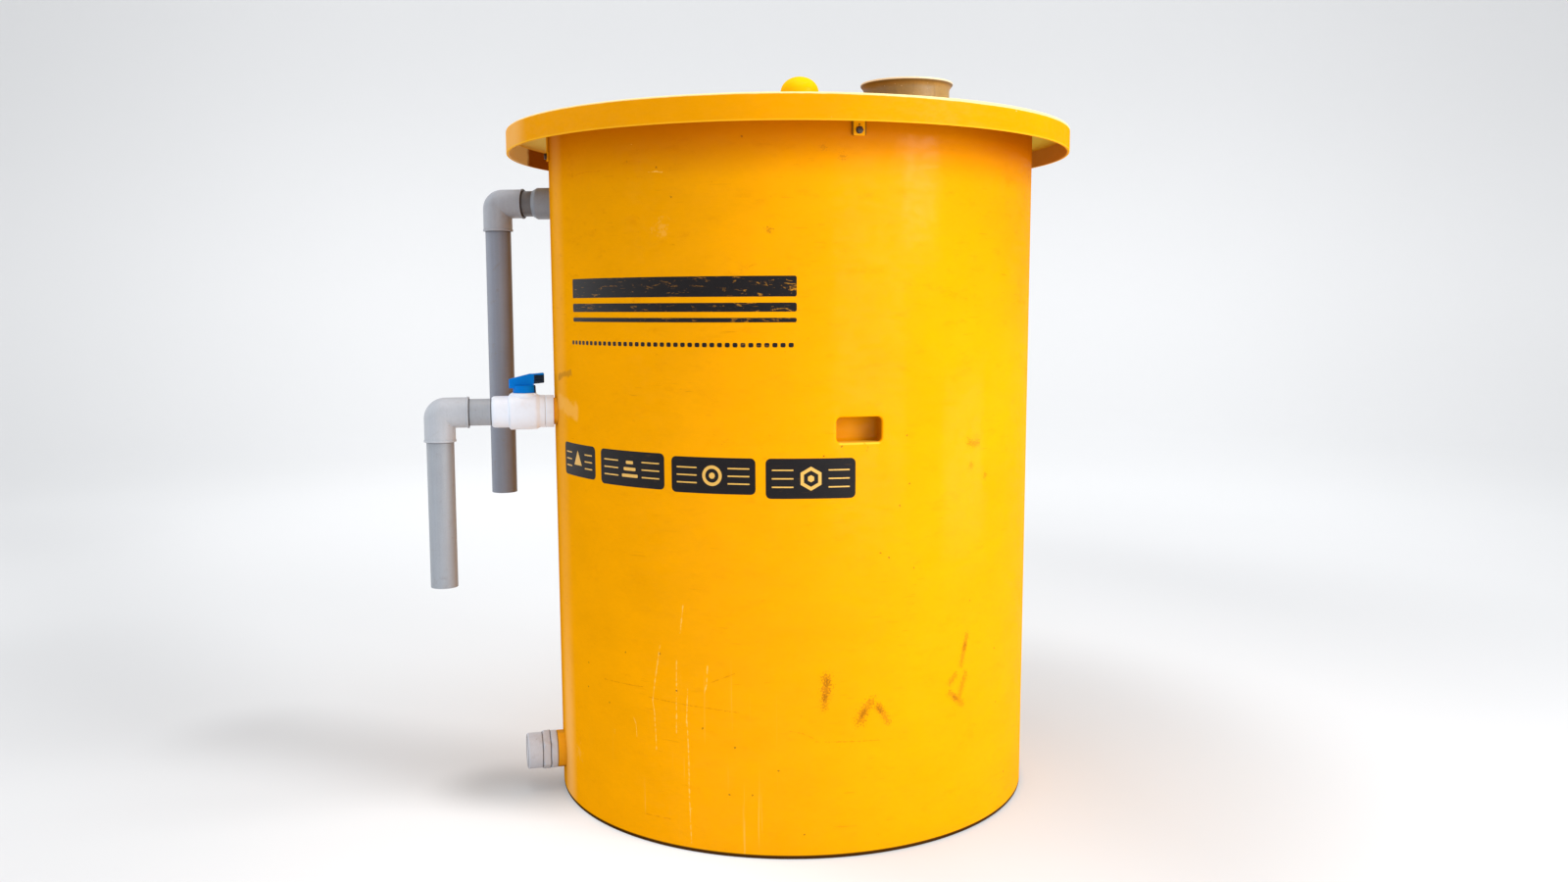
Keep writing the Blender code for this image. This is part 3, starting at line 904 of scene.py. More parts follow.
@dataclass(frozen=True)
class Finish:
    """A material whose pattern is read at each place on the piece."""

    name: str

    def material(self) -> bpy.types.Material:
        """Builds the material.

        Returns:
            The material.
        """
        shader = Shader(self.name)
        self.paint(shader, shader.place())
        return shader.material

    def paint(self, shader: Shader, place: Signal) -> None:
        """Draws the pattern and joins it to the shader.

        Args:
            shader: The shader.
            place: The surface point.
        """
        raise NotImplementedError


@dataclass(frozen=True)
class YellowPlastic(Finish):
    """Satin moulded plastic, clouded and streaked, with dirt and painted shade where pieces meet."""

    colour: Colour = (0.865, 0.350, 0.0006)
    deep: Colour = (0.56, 0.155, 0.0006)
    roughness: float = 0.17
    gloss: float = 0.10
    waves: float = 0.0006
    grime_and_shade: tuple[tuple[float, float, float], ...] = ()

    def paint(self, shader: Shader, place: Signal) -> None:
        """Clouds the colour, then lays dirt, painted shade, wear and specks over it.

        Args:
            shader: The shader.
            place: The surface point.
        """
        z = shader.split(place)[2]
        cloud = shader.noise(place, 3.2, 3.0, 0.55, 0.4)
        drift = shader.noise(shader.stretch(place, 1.0, 1.0, 2.2), 9.0, 3.0, 0.6)
        fine = shader.noise(shader.stretch(place, 1.0, 1.0, 3.0), 90.0, 2.0)
        colour = shader.scale(self.colour, 1.0 + cloud.sway(0.16) + drift.sway(0.14) + fine.sway(0.07))
        # Each band darkens the colour: dirt, and painted shade under overhangs and where pieces meet.
        for low, high, strength in self.grime_and_shade:
            colour = shader.lay(colour, (z + cloud.sway(abs(high - low)), low, high, strength, self.deep))
        colour, worn = self.worked(shader, place, colour, shader.smooth(drift, 0.56, 0.74) * 0.4)
        colour = shader.mix(shader.dots(place, 85.0, 0.10, 0.035) * 0.5, colour, self.deep)
        grain = shader.noise(shader.stretch(place, 1.0, 1.0, 2.0), 55.0, 4.0, 0.7)
        coat = (0.35 + shader.smooth(grain, 0.60, 0.40) * 0.65 - worn * 0.5).most(0.05) * self.gloss
        height = shader.noise(place, 3.6, 1.0) + shader.noise(place, 240.0, 1.0) * 0.03
        shader.finish(
            colour, 0.6, height, self.waves, coat=coat, Specular_IOR_Level=0.0, Coat_Roughness=self.roughness,
            Coat_Tint=(1.0, 0.98, 0.92, 1.0),
        )

    def worked(self, shader: Shader, place: Signal, colour: Signal, worn: Signal) -> tuple[Signal, Signal]:
        """Adds what only one piece shows, to its colour and to its wear.

        Args:
            shader: The shader.
            place: The surface point.
            colour: The plain colour.
            worn: How far the gloss is worn off.

        Returns:
            The marked colour, and the wear.
        """
        return colour, worn


@dataclass(frozen=True)
class TankPlastic(YellowPlastic):
    """The tank's plastic, scuffed, scratched and splashed, with painted shade, highlights and reflections."""

    marks: tuple[Marks, ...] = WALL_MARKS
    # Colour of the painted shade along the foot, where the wall meets the ground.
    foot: Colour = (0.018, 0.007, 0.002)

    def worked(self, shader: Shader, place: Signal, colour: Signal, worn: Signal) -> tuple[Signal, Signal]:
        """Draws the wall's marks, rubs and painted shade, highlights and reflections over its colour.

        Args:
            shader: The shader.
            place: The surface point.
            colour: The plain colour.
            worn: How far the gloss is worn off.

        Returns:
            The marked colour, and the wear.
        """
        x, y, z = shader.split(place)
        u = x.math("ARCTAN2", x, -y) * TANK.unroll
        unrolled = shader.vector(u, z, 0.0)
        front = shader.smooth(y, 0.36, 0.12)
        colour = self._rub(shader, place, colour, u, z)
        colour = self._shade(shader, colour, u, z, front)
        colour = self._shade_pocket(shader, place, colour)
        # Painted shade: a near-black line along the foot.
        colour = shader.lay(colour, (z, 0.0084, 0.0060, 0.95, self.foot))
        worn = worn + shader.smooth(u, -0.25, -0.45) * front * 1.6
        for marks in self.marks:
            mask = self._mask(shader, unrolled, marks)
            colour, worn = shader.mix(mask, colour, marks.colour), worn + mask
        return colour, worn

    @staticmethod
    def _mask(shader: Shader, unrolled: Signal, marks: Marks) -> Signal:
        """Gives the marks of one kind, 1 where they cover the wall.

        Args:
            shader: The shader.
            unrolled: The point on the wall, as (u, z, 0).
            marks: The kind of marks.

        Returns:
            The marks' cover.
        """
        ragged = shader.noise(unrolled, marks.breakup, 4.0, 0.65)
        distances = [shader.beside(unrolled, line) for line in marks.lines]
        if marks.points:
            distances.append(shader.nearest(unrolled, marks.points))
        edge = reduce(Signal.least, distances) + ragged.sway(marks.ragged * 2.0 * marks.width)
        return shader.smooth(edge, 0.62 * marks.width, 0.25 * marks.width) * marks.strength

    @staticmethod
    def _shade(shader: Shader, colour: Signal, u: Signal, z: Signal, front: Signal) -> Signal:
        """Paints shade under the lid's edge, high up on both sides of the front and along the left edge, and
        a pale band beside the left edge as a painted reflection.

        Args:
            shader: The shader.
            colour: The colour under them.
            u: Distance along the wall from the pocket's middle.
            z: Height.
            front: 1 on the pocket's side, 0 on the far one.

        Returns:
            The shaded colour.
        """
        # Painted shade high on the wall, left and right of the front.
        left = shader.smooth(z, 0.62, 1.16) * shader.smooth(u, -0.06, -0.36) * front * 0.11
        right = shader.smooth(z, 0.72, 1.12) * shader.smooth(u, 0.02, 0.42) * front * 0.26
        colour = shader.scale(colour, 1.0 - left - right)
        eave = 0.56 - (shader.smooth(u, -0.25, -0.55) * 0.20 - shader.smooth(u, 0.15, 0.35) * 0.20) * front
        return shader.lay(
            # Painted shade under the lid's edge.
            colour, (z, 1.085, 1.165, eave, (0.37, 0.062, 0.0003)),
            # Painted shade along the left edge.
            (u, -0.655, -0.695, front * 0.40, (0.46, 0.16, 0.008)),
            # Painted reflection: a pale band beside the left edge.
            (abs(u + 0.628), 0.050, 0.004, 0.10 + shader.smooth(z, 0.38, 0.12) * 0.24, (0.98, 0.62, 0.27)),
        )

    @staticmethod
    def _shade_pocket(shader: Shader, place: Signal, colour: Signal) -> Signal:
        """Paints shade in the pocket, deeper towards its right, and a highlight along its lower lip.

        Args:
            shader: The shader.
            place: The surface point.
            colour: The colour under them.

        Returns:
            The shaded colour.
        """
        x, y, z = shader.split(place)
        middle = Tank.pocket_z
        skin, sill = TANK.radius(middle), middle - 0.0215
        out = shader.distance(shader.level(place), (0.0, 0.0, 0.0))
        here = shader.smooth(abs(x), 0.050, 0.045) * shader.smooth(abs(z - middle), 0.030, 0.026)
        here = here * shader.smooth(y, 0.0, -0.1)
        # Painted shade in the pocket, deeper towards its right.
        dark = 0.34 + shader.smooth(x, -0.015, 0.030) * 0.28
        # Painted highlight along the pocket's lower lip.
        lip = shader.smooth(abs(x), 0.036, 0.031) * here * 0.55
        return shader.lay(
            colour, (out, skin - 0.0020, skin - 0.0090, here * dark, (0.20, 0.040, 0.0006)),
            (abs(z - sill), 0.0024, 0.0010, lip, (1.0, 0.68, 0.06)),
        )

    @staticmethod
    def _rub(shader: Shader, place: Signal, colour: Signal, u: Signal, z: Signal) -> Signal:
        """Adds families of fine scratches and rubs, mostly low on the wall's left.

        Args:
            shader: The shader.
            place: The surface point.
            colour: The colour under them.
            u: Distance along the wall from the pocket's middle.
            z: Height.

        Returns:
            The rubbed colour.
        """
        threads = shader.noise(shader.stretch(place, 300.0, 300.0, 5.0), 1.0, 2.0)
        hairs = shader.noise(shader.stretch(place, 22.0, 22.0, 420.0), 1.0, 2.0)
        patch = shader.noise(place, 7.0, 2.0)
        wide = shader.noise(shader.stretch(place, 1.0, 1.0, 2.6), 16.0, 5.0, 0.68)
        grain = shader.noise(shader.stretch(place, 1.0, 1.0, 2.0), 70.0, 4.0, 0.7)
        low = shader.smooth(z, 0.46, 0.12) * shader.smooth(abs(u + 0.30), 0.26, 0.05)
        upper = 0.55 + shader.smooth(z, 0.62, 0.95) * 0.45
        smudged = shader.smooth(wide, 0.50, 0.62) * upper
        return shader.lay(
            colour, (threads, 0.69, 0.74, low * 0.26, (0.93, 0.60, 0.16)),
            (hairs, 0.66, 0.74, shader.smooth(patch, 0.47, 0.60) * 0.48, (0.58, 0.18, 0.001)),
            (wide, 0.54, 0.74, upper * 0.30, (0.64, 0.205, 0.001)),
            (grain, 0.60, 0.72, smudged * 0.34, (0.50, 0.15, 0.001)),
        )


@dataclass(frozen=True)
class LidPlastic(YellowPlastic):
    """The lid's plastic, with painted highlights along the edges of its skirt, and painted light and shade
    inside it.
    """

    # Darker than the tank's yellow, as painted shade: the lid's skirt takes more light than the wall.
    colour: Colour = (0.765, 0.300, 0.0006)
    roughness: float = 0.40
    # Colour of the painted highlight along the top edge.
    edge_highlight: Colour = (0.95, 0.76, 0.36)
    # Colours of the painted shade and light inside the skirt.
    inside_shading: Colour = (0.33, 0.11, 0.004)
    inside_shading_right: Colour = (0.60, 0.33, 0.07)
    axis: Point = (-0.004, 0.0)
    radius: float = 0.5168
    top: float = 1.2130
    skirt: float = 1.1716

    def worked(self, shader: Shader, place: Signal, colour: Signal, worn: Signal) -> tuple[Signal, Signal]:
        """Paints highlights along the edges and a reflection on the rim's left, paints light and shade inside
        the skirt and under the lid, and leaves specks on the skirt.

        Args:
            shader: The shader.
            place: The surface point.
            colour: The plain colour.
            worn: How far the gloss is worn off.

        Returns:
            The marked colour, and the wear.
        """
        x, y, z = shader.split(place)
        out = shader.distance(shader.level(place), (*self.axis, 0.0))
        grain = shader.noise(place, 60.0, 3.0, 0.6)
        rim = shader.smooth(out, self.radius - 0.0046, self.radius - 0.0034)
        brow = z + grain.sway(0.0014) + shader.smooth(x, -0.15, 0.25) * 0.0022
        # Painted highlight along the top edge, and a painted reflection on the rim's left.
        colour = shader.lay(
            colour, (brow, self.top - 0.0038, self.top - 0.0018, rim * 0.85, self.edge_highlight),
            (x, -0.492, -0.512, rim * 0.40, (0.90, 0.55, 0.22)),
        )
        inside = shader.smooth(out, self.radius - 0.0036, self.radius - 0.0046)
        inside = inside * shader.smooth(z, self.top, self.top - 0.002)
        # Painted light and shade inside the skirt and under the lid: lit at the front left, darker on the
        # right, in shade at the back left.
        right = shader.smooth(x, -0.2, 0.2)
        back = shader.smooth(y + grain.sway(0.012), 0.198, 0.214) * (1.0 - right)
        cheeks = shader.mix(back, shader.mix(right, (0.98, 0.82, 0.46), self.inside_shading_right), self.inside_shading)
        ceiling = shader.mix(right, (0.95, 0.66, 0.13), (0.73, 0.53, 0.05))
        inside_shading = shader.lay(cheeks, (z, self.top - 0.0100, self.top - 0.0080, 1.0, ceiling))
        # Painted highlight along the skirt's lower edge.
        hem = (z, self.skirt + 0.0026, self.skirt + 0.0012, rim * 0.55, (0.93, 0.50, 0.02))
        colour = shader.lay(shader.mix(inside, colour, inside_shading), hem)
        return shader.mix(shader.dots(place, 120.0, 0.16, 0.012) * 0.6, colour, (0.90, 0.70, 0.40)), worn


@dataclass(frozen=True)
class BracketPaint(YellowPlastic):
    """Paint of the four brackets, with painted shade along their sides and a dark dot for a pin hole over the
    bolt.
    """

    colour: Colour = (0.80, 0.325, 0.001)
    deep: Colour = (0.16, 0.06, 0.004)
    waves: float = 0.0001
    lean: float = -0.5
    edge: float = 0.0115
    pin: Point = (0.0, 1.1762)

    def worked(self, shader: Shader, place: Signal, colour: Signal, worn: Signal) -> tuple[Signal, Signal]:
        """Paints shade along the sides of each bracket, measured from the plane through its middle.

        Args:
            shader: The shader.
            place: The surface point.
            colour: The plain colour.
            worn: How far the gloss is worn off.

        Returns:
            The marked colour, and the wear.
        """
        x, y, z = shader.split(place)
        cosine, sine = math.cos(math.radians(self.lean)), math.sin(math.radians(self.lean))
        aside = abs(x * cosine + y * sine).least(abs(y * cosine - x * sine))
        edge = 0.20 + shader.smooth(y, -0.10, -0.30) * 0.65
        far = shader.distance(shader.vector(aside, z, 0.0), (*self.pin, 0.0))
        # Painted shade along the sides, and a dark dot for a pin hole over the bolt.
        return shader.lay(
            colour, (aside, self.edge - 0.0036, self.edge - 0.0012, edge, (0.09, 0.032, 0.004)),
            (far, 0.0019, 0.0010, 0.85, (0.05, 0.02, 0.004)),
        ), worn


@dataclass(frozen=True)
class GreyPlastic(Finish):
    """Pipe, elbow or fitting plastic with dust, scuffs along it and stains."""

    colour: Colour
    stain: Colour = (0.20, 0.15, 0.11)
    stained: float = 0.45
    roughness: float = 0.42
    smudges: tuple[Corner, ...] = ()
    smudge: Colour = (0.10, 0.13, 0.20)
    shadow: float = 0.0
    # Colour of the painted shade on the side towards the tank.
    side_shade: Colour = (0.080, 0.045, 0.016)
    joints: tuple[Joint, ...] = ()
    seam: Colour = (0.030, 0.026, 0.028)

    def paint(self, shader: Shader, place: Signal) -> None:
        """Lays dust, stains, painted shade on the side towards the tank and the dark lines of the joints over
        the colour.

        Args:
            shader: The shader.
            place: The surface point.
        """
        cloud = shader.noise(place, 14.0, 3.0, 0.6)
        streak = shader.noise(shader.stretch(place, 170.0, 170.0, 7.0), 1.0, 3.0, 0.6)
        fine = shader.noise(place, 420.0, 2.0, 0.6)
        colour = shader.scale(self.colour, 1.0 + cloud.sway(0.22) + streak.sway(0.20) + fine.sway(0.14))
        dust = shader.noise(place, 46.0, 4.0, 0.65, 0.5)
        colour = shader.lay(colour, (dust, 0.56, 0.80, self.stained, self.stain))
        colour = shader.mix(shader.dots(place, 150.0, 0.16, 0.05) * 0.6, colour, self.stain)
        for smudge in self.smudges:
            near = shader.distance(place, smudge) + fine.sway(0.006)
            colour = shader.lay(colour, (near, 0.0060, 0.0025, 0.45, self.smudge))
        # Painted shade on the side that faces +X, towards the tank.
        if self.shadow:
            side = shader.split(shader.node("ShaderNodeTexCoord", output=1))[0]
            colour = shader.lay(colour, (side + cloud.sway(0.3), 0.42, 0.92, self.shadow, self.side_shade))
        for normal, offset in self.joints:
            far = abs(shader.vectors("DOT_PRODUCT", place, normal) - offset) + fine.sway(0.0004)
            colour = shader.lay(colour, (far, 0.0014, 0.0007, 0.85, self.seam))
        rough = self.roughness + cloud.sway(0.16) + fine.sway(0.08)
        shader.finish(colour, rough, streak * 0.5 + fine * 0.5, 0.00012)


@dataclass(frozen=True)
class WhitePlastic(Finish):
    """The valve's white plastic, yellowed and pink where its parts meet."""

    colour: Colour = (0.80, 0.855, 0.96)
    stain: Colour = (0.70, 0.58, 0.52)
    spot: Colour = (0.66, 0.34, 0.14)
    spots: tuple[Corner, ...] = ()
    roughness: float = 0.30

    def paint(self, shader: Shader, place: Signal) -> None:
        """Blushes the colour, more on its underside, and lays the spots over it.

        Args:
            shader: The shader.
            place: The surface point.
        """
        cloud = shader.noise(place, 30.0, 3.0, 0.6)
        fine = shader.noise(place, 300.0, 2.0)
        blush = shader.noise(place, 55.0, 3.0, 0.6)
        colour = shader.scale(self.colour, 1.0 + cloud.sway(0.10) + fine.sway(0.04))
        low = shader.smooth(shader.split(place)[2], OUTLET.height - 0.004, OUTLET.height - 0.034)
        colour = shader.mix(shader.smooth(blush, 0.54, 0.80) * 0.16 + low * 0.16, colour, self.stain)
        for spot in self.spots:
            near = shader.distance(place, spot) + blush.sway(0.012)
            colour = shader.lay(colour, (near, 0.0080, 0.0020, 0.55, self.spot))
        shader.finish(colour, self.roughness + cloud.sway(0.10), fine, 0.00005)


@dataclass(frozen=True)
class BluePlastic(Finish):
    """The handle's blue plastic, darkened towards the lever's tip by painted shade."""

    colour: Colour = (0.0008, 0.175, 0.620)
    grime_and_shade: Colour = (0.020, 0.023, 0.022)
    knee: float = -0.4830
    brow: float = 0.7772

    def paint(self, shader: Shader, place: Signal) -> None:
        """Clouds the colour and darkens the lever's arm under its brow, as painted shade.

        Args:
            shader: The shader.
            place: The surface point.
        """
        x, _, z = shader.split(place)
        cloud = shader.noise(place, 60.0, 3.0, 0.6)
        fine = shader.noise(place, 500.0, 2.0)
        colour = shader.scale(self.colour, 1.0 + cloud.sway(0.35) + fine.sway(0.08))
        under = shader.smooth(z, self.brow, self.brow - 0.0010) * 0.95
        # Painted shade: the arm under its brow turns near black.
        arm = (x + cloud.sway(0.002), self.knee - 0.0008, self.knee + 0.0008, under, self.grime_and_shade)
        rough = 0.45 + cloud.sway(0.12)
        shader.finish(shader.lay(colour, arm), rough, fine, 0.00008, Specular_IOR_Level=0.04)


@dataclass(frozen=True)
class StainedPipe(Finish):
    """The inlet pipe's ochre plastic, darker on its left and caked with dust."""

    colour: Colour = (0.36, 0.225, 0.055)
    stain: Colour = (0.095, 0.058, 0.018)
    chalk: Colour = (0.62, 0.50, 0.30)
    # Colour of the painted highlight along the mouth's rim.
    rim: Colour = (0.80, 0.70, 0.48)
    top: float = 1.3130

    def paint(self, shader: Shader, place: Signal) -> None:
        """Stains the colour, scatters chalk on it and paints a highlight along the mouth's rim.

        Args:
            shader: The shader.
            place: The surface point.
        """
        x, _, z = shader.split(place)
        cloud = shader.noise(place, 22.0, 4.0, 0.6, 0.6)
        fine = shader.noise(place, 260.0, 3.0, 0.6)
        streak = shader.noise(shader.stretch(place, 120.0, 120.0, 8.0), 1.0, 3.0)
        colour = shader.lay(
            shader.scale(self.colour, 1.0 + cloud.sway(0.5) + fine.sway(0.25) + streak.sway(0.35)),
            (x + cloud.sway(0.05), 0.262, 0.140, 0.72, self.stain), (streak, 0.56, 0.78, 0.40, self.stain),
        )
        colour = shader.mix(shader.dots(place, 190.0, 0.20, 0.05) * 0.7, colour, self.chalk)
        # Darker just under the mouth, then a painted highlight along its rim.
        colour = shader.lay(
            colour, (z, self.top - 0.0100, self.top - 0.0048, 0.75, self.stain),
            (z, self.top - 0.0040, self.top - 0.0024, 0.90, self.rim),
        )
        shader.finish(colour, 0.50 + cloud.sway(0.2), fine, 0.0003)


@dataclass(frozen=True)
class Steel(Finish):
    """Dull dark steel with rust in its pores."""

    colour: Colour = (0.060, 0.052, 0.045)
    rust: Colour = (0.075, 0.030, 0.012)

    def paint(self, shader: Shader, place: Signal) -> None:
        """Lays rust over the metal in patches.

        Args:
            shader: The shader.
            place: The surface point.
        """
        cloud = shader.noise(place, 320.0, 3.0, 0.6)
        metal = shader.scale(self.colour, 0.7 + cloud * 0.6)
        colour = shader.lay(metal, (cloud, 0.48, 0.66, 0.8, self.rust))
        shader.finish(colour, 0.34 + cloud * 0.3, cloud, 0.0001, Metallic=0.85)


@dataclass(frozen=True)
class BlackPrint(Finish):
    """Black paint of the printed stripes and panels, rubbed through in places."""

    wear: float
    colour: Colour = (0.0120, 0.0100, 0.0105)
    ground: Colour = (0.80, 0.33, 0.010)

    def paint(self, shader: Shader, place: Signal) -> None:
        """Rubs the paint through in patches and in hairs, more on the right.

        Args:
            shader: The shader.
            place: The surface point.
        """
        grain = shader.noise(place, 300.0, 3.0, 0.7)
        patch = shader.noise(shader.stretch(place, 0.6, 0.6, 2.6), 60.0, 4.0, 0.72, 0.8)
        hairs = shader.noise(shader.stretch(place, 30.0, 30.0, 520.0), 1.0, 2.0)
        right = shader.smooth(shader.split(place)[0], -0.26, -0.12)
        gone = shader.smooth(patch + grain.sway(0.22), 0.66 - 0.10 * self.wear, 0.74 - 0.10 * self.wear)
        gone = gone * (0.30 + right * 0.50) + shader.smooth(hairs, 0.68, 0.74) * 0.45
        black = shader.scale(self.colour, 0.7 + grain * 0.6)
        colour = shader.mix((gone * self.wear).least(1.0), black, self.ground)
        shader.finish(colour, 0.42 + grain.sway(0.2), grain, 0.00004, Specular_IOR_Level=0.12)


@dataclass(frozen=True)
class PaleMark(Finish):
    """Yellow signs on the black panels."""

    colour: Colour = (0.74, 0.42, 0.075)
    worn: Colour = (0.05, 0.035, 0.02)

    def paint(self, shader: Shader, place: Signal) -> None:
        """Wears the colour off in grains.

        Args:
            shader: The shader.
            place: The surface point.
        """
        grain = shader.noise(place, 500.0, 3.0, 0.6)
        colour = shader.lay(shader.scale(self.colour, 0.8 + grain * 0.4), (grain, 0.60, 0.75, 0.5, self.worn))
        shader.finish(colour, 0.42, grain, 0.00003)


@dataclass(frozen=True)
class BackdropPaper(Finish):
    """The floor and the backdrop: pale paper that glows where the light lies and dims in the shadows."""

    colour: Colour = (0.500, 0.503, 0.510)
    light: Colour = (0.98, 0.99, 1.0)

    def paint(self, shader: Shader, place: Signal) -> None:
        """Lays soft shadows on the floor and dims the paper towards both sides.

        Args:
            shader: The shader.
            place: The surface point.
        """
        x, y, z = shader.split(place)
        level = shader.level(place)
        out = shader.distance(level, (0.0, 0.0, 0.0))
        aside = x / (abs(y) + 3.0)
        cast = shader.beside(level, ((-0.50, 0.06), (-1.05, 0.46)))
        beyond = shader.beside(level, ((-1.00, 0.50), (-1.70, 1.20)))
        near = shader.smooth(shader.beside(level, ((-0.445, -0.03), (-0.56, 0.02))), 0.16, 0.02)
        front = shader.smooth(y, 0.10, -0.12) * shader.smooth(x, 0.1, -0.3)
        far = shader.smooth(aside, -0.24, -0.38) * shader.smooth(y, 0.1, 0.6) * shader.smooth(out, 5.0, 3.6)
        left, right = shader.smooth(x, 0.2, -0.3), shader.smooth(x, 0.15, 0.60)
        glow = 0.26 - shader.smooth(cast, 0.26, 0.0) * 0.16 - shader.smooth(beyond, 0.6, 0.0) * 0.06
        glow = glow + shader.smooth(out, 1.3, 4.5) * 0.20
        glow = glow + left * shader.smooth(out, 6.0, 2.5) * 0.08
        glow = glow - right * shader.smooth(out, 1.35, 0.80) * 0.14
        glow = glow - far * 0.11 - shader.smooth(x, 1.0, 1.8) * shader.smooth(out, 3.0, 2.0) * 0.06
        glow = glow - near * 0.09 + shader.smooth(out, 1.6, 0.6) * front * 0.14
        glow = glow + shader.smooth(z, 0.0, 1.0) * 0.02 - shader.smooth(z, 0.8, 3.6) * 0.13
        dim = shader.smooth(aside, -0.06, -0.42) * 0.40 + shader.smooth(aside, 0.40, 0.95) * 0.31
        colour = shader.scale(self.colour, 0.985 + shader.noise(place, 0.8, 2.0) * 0.03 - near * 0.22)
        shader.finish(
            colour, 0.9, glow=shader.scale(self.light, glow * (1.0 - dim)), Specular_IOR_Level=0.15,
            Emission_Strength=1.0,
        )


def copied(master: bpy.types.Object, name: str, place: Matrix) -> Bench:
    """Copies a finished mesh and puts the copy in its place.

    Args:
        master: The object to copy.
        name: The copy's name.
        place: Where it goes.

    Returns:
        The copy, with its own mesh.
    """
    choose(master)
    bpy.ops.object.duplicate()
    return Bench(name).put(place)


def rod(radius: float, low: float, high: float, place: Matrix, sides: int = 64) -> bpy.types.Object:
    """Makes a plain bar, to cut a hole with."""
    return Bench.drum("cutter", radius, low, high, sides).put(place).raw()


def joined(name: str, pieces: Sequence[bpy.types.Object]) -> Bench:
    """Joins several objects into one.

    Args:
        name: Name of the whole.
        pieces: The objects.

    Returns:
        The whole.
    """
    choose(*pieces)
    if len(pieces) > 1:
        bpy.ops.object.join()
    return Bench(name)


class Side(Enum):
    """The four places where the lid is held, with their azimuths in degrees."""

    FRONT = -90.5
    RIGHT = -0.5
    BACK = 89.5
    LEFT = 179.5


@dataclass
class Tank:
    """The round tank with its moulded pocket, its holes and its floor."""

    pocket_z: float = 0.703
    pocket_width: float = 0.076
    pocket_height: float = 0.041
    pocket_depth: float = 0.030
    corner: float = 0.008
    mouth: float = 0.003
    back: float = 0.005
    base_edge: float = 0.004
    rim_edge: float = 0.0012
    ring_step: float = 0.05
    hole: float = 0.03
    bolt_hole: float = 0.02
    # The tank's bands are painted shade: under the lid's overhang, and at the foot where the wall meets the
    # ground.
    finish: YellowPlastic = field(default_factory=lambda: TankPlastic(
        "tank_plastic", grime_and_shade=((1.140, 1.205, 0.50), (0.008, 0.0, 0.85)),
    ))

    def build(self) -> None:
        """Makes both pieces."""
        material = self.finish.material()
        publish(self.wall(), material, Slot.TANK, "tank_wall")
        publish(self.floor(), material, Slot.TANK, "tank_floor")

    def wall(self) -> bpy.types.Object:
        """Draws the outer skin, presses the pocket into it, gives it its thickness and cuts its holes.

        Returns:
            The finished wall.
        """
        count = int(TANK.top / self.ring_step)
        heights = [self.ring_step * (number + 1) for number in range(count)] + [TANK.top]
        skin = Sweep("tank_wall_shell", TANK.radius(0.0), 0.0, TANK_SIDES)
        skin.follow([(TANK.radius(z), z) for z in heights])
        skin.turn_faces()
        self._press_pocket(skin)
        skin.modify("SOLIDIFY", thickness=TANK.wall, offset=-1.0, use_even_offset=True)
        lines = ((OverflowLine.socket_radius, OVERFLOW), (PIPE.radius, OUTLET), (Drain.ring, DRAIN))
        holes = [rod(radius + GAP, -self.hole, self.hole, line.along()) for radius, line in lines]
        radius, reach = LidFixings.bolt_radius + GAP, self.bolt_hole
        for side in Side:
            holes.append(rod(radius, -reach, reach, Line(side.value, LidFixings.bolt_z).along(), BOLT_SIDES))
        skin.combine("DIFFERENCE", *holes)
        for z, radius, width, steps in (
            (0.0, TANK.base_radius, self.base_edge, 4), (TANK.top, TANK.top_radius, self.rim_edge, 2),
        ):
            skin.edges(lambda end, z=z, radius=radius: abs(end.z - z) < HAIR
                       and abs(math.hypot(*end.xy) - radius) < HAIR)
            skin.bevel(width, steps)
        return skin.done(40.0)

    def _press_pocket(self, skin: Bench) -> None:
        """Cuts the pocket's outline into the skin, pushes it in and rounds its edges.

        Args:
            skin: The wall, while it is still a thin skin.
        """
        face = TANK.radius(self.pocket_z)
        wide, high = self.pocket_width / 2.0, self.pocket_height / 2.0

        def inside(element: Any, margin: float) -> bool:
            """Says whether a face or edge lies in the pocket's place, with a margin round it.

            Args:
                element: The face or edge.
                margin: The margin's width.

            Returns:
                Whether its middle lies there.
            """
            middle = sum((vertex.co for vertex in element.verts), Vector()) / len(element.verts)
            low = abs(middle.z - self.pocket_z) < high + margin
            return middle.y < 0.0 and abs(middle.x) < wide + margin and low

        for axis, middle, half in ((0, 0.0, wide), (2, self.pocket_z, high)):
            for side in (-1.0, 1.0):
                place, normal = Vector(), Vector()
                place[axis], normal[axis] = middle + side * half, 1.0
                skin.select("FACE", lambda element: inside(element, 0.05))
                skin.cut(place, normal)
        skin.select("FACE", lambda element: inside(element, 0.0))
        skin.extrude(y=self.pocket_depth)
        skin.resize(0.985, 0.0, 0.97, Vector((0.0, self.pocket_depth - face, self.pocket_z)))
        skin.select("EDGE", lambda edge: inside(edge, 0.002) and edge.calc_length() > 0.6 * self.pocket_depth
                    and abs(edge.verts[0].co.y - edge.verts[1].co.y) > 0.5 * self.pocket_depth
                    and all(abs(vertex.co.x) > 0.9 * wide for vertex in edge.verts)
                    and all(abs(vertex.co.z - self.pocket_z) > 0.9 * high for vertex in edge.verts))
        skin.bevel(self.corner, 4)
        for front, width in ((True, self.mouth), (False, self.back)):
            skin.select("EDGE", lambda edge, front=front: inside(edge, 0.003)
                        and front == (edge.verts[0].co.y < self.pocket_depth / 2.0 - face)
                        and len(edge.link_faces) == 2
                        and min(abs(other.normal.y) for other in edge.link_faces) < 0.5
                        and max(abs(other.normal.y) for other in edge.link_faces) > 0.8)
            skin.bevel(width, 3)

    def floor(self) -> bpy.types.Object:
        """Makes the flat floor inside the wall.

        Returns:
            The finished floor.
        """
        radius = TANK.base_radius - TANK.wall - GAP
        return capped("tank_floor_plate", [
            (0.05, TANK.floor), (radius - 0.002, TANK.floor), (radius, TANK.floor - 0.001), (radius, 0.0),
            (0.05, 0.0),
        ], TANK_SIDES).done()


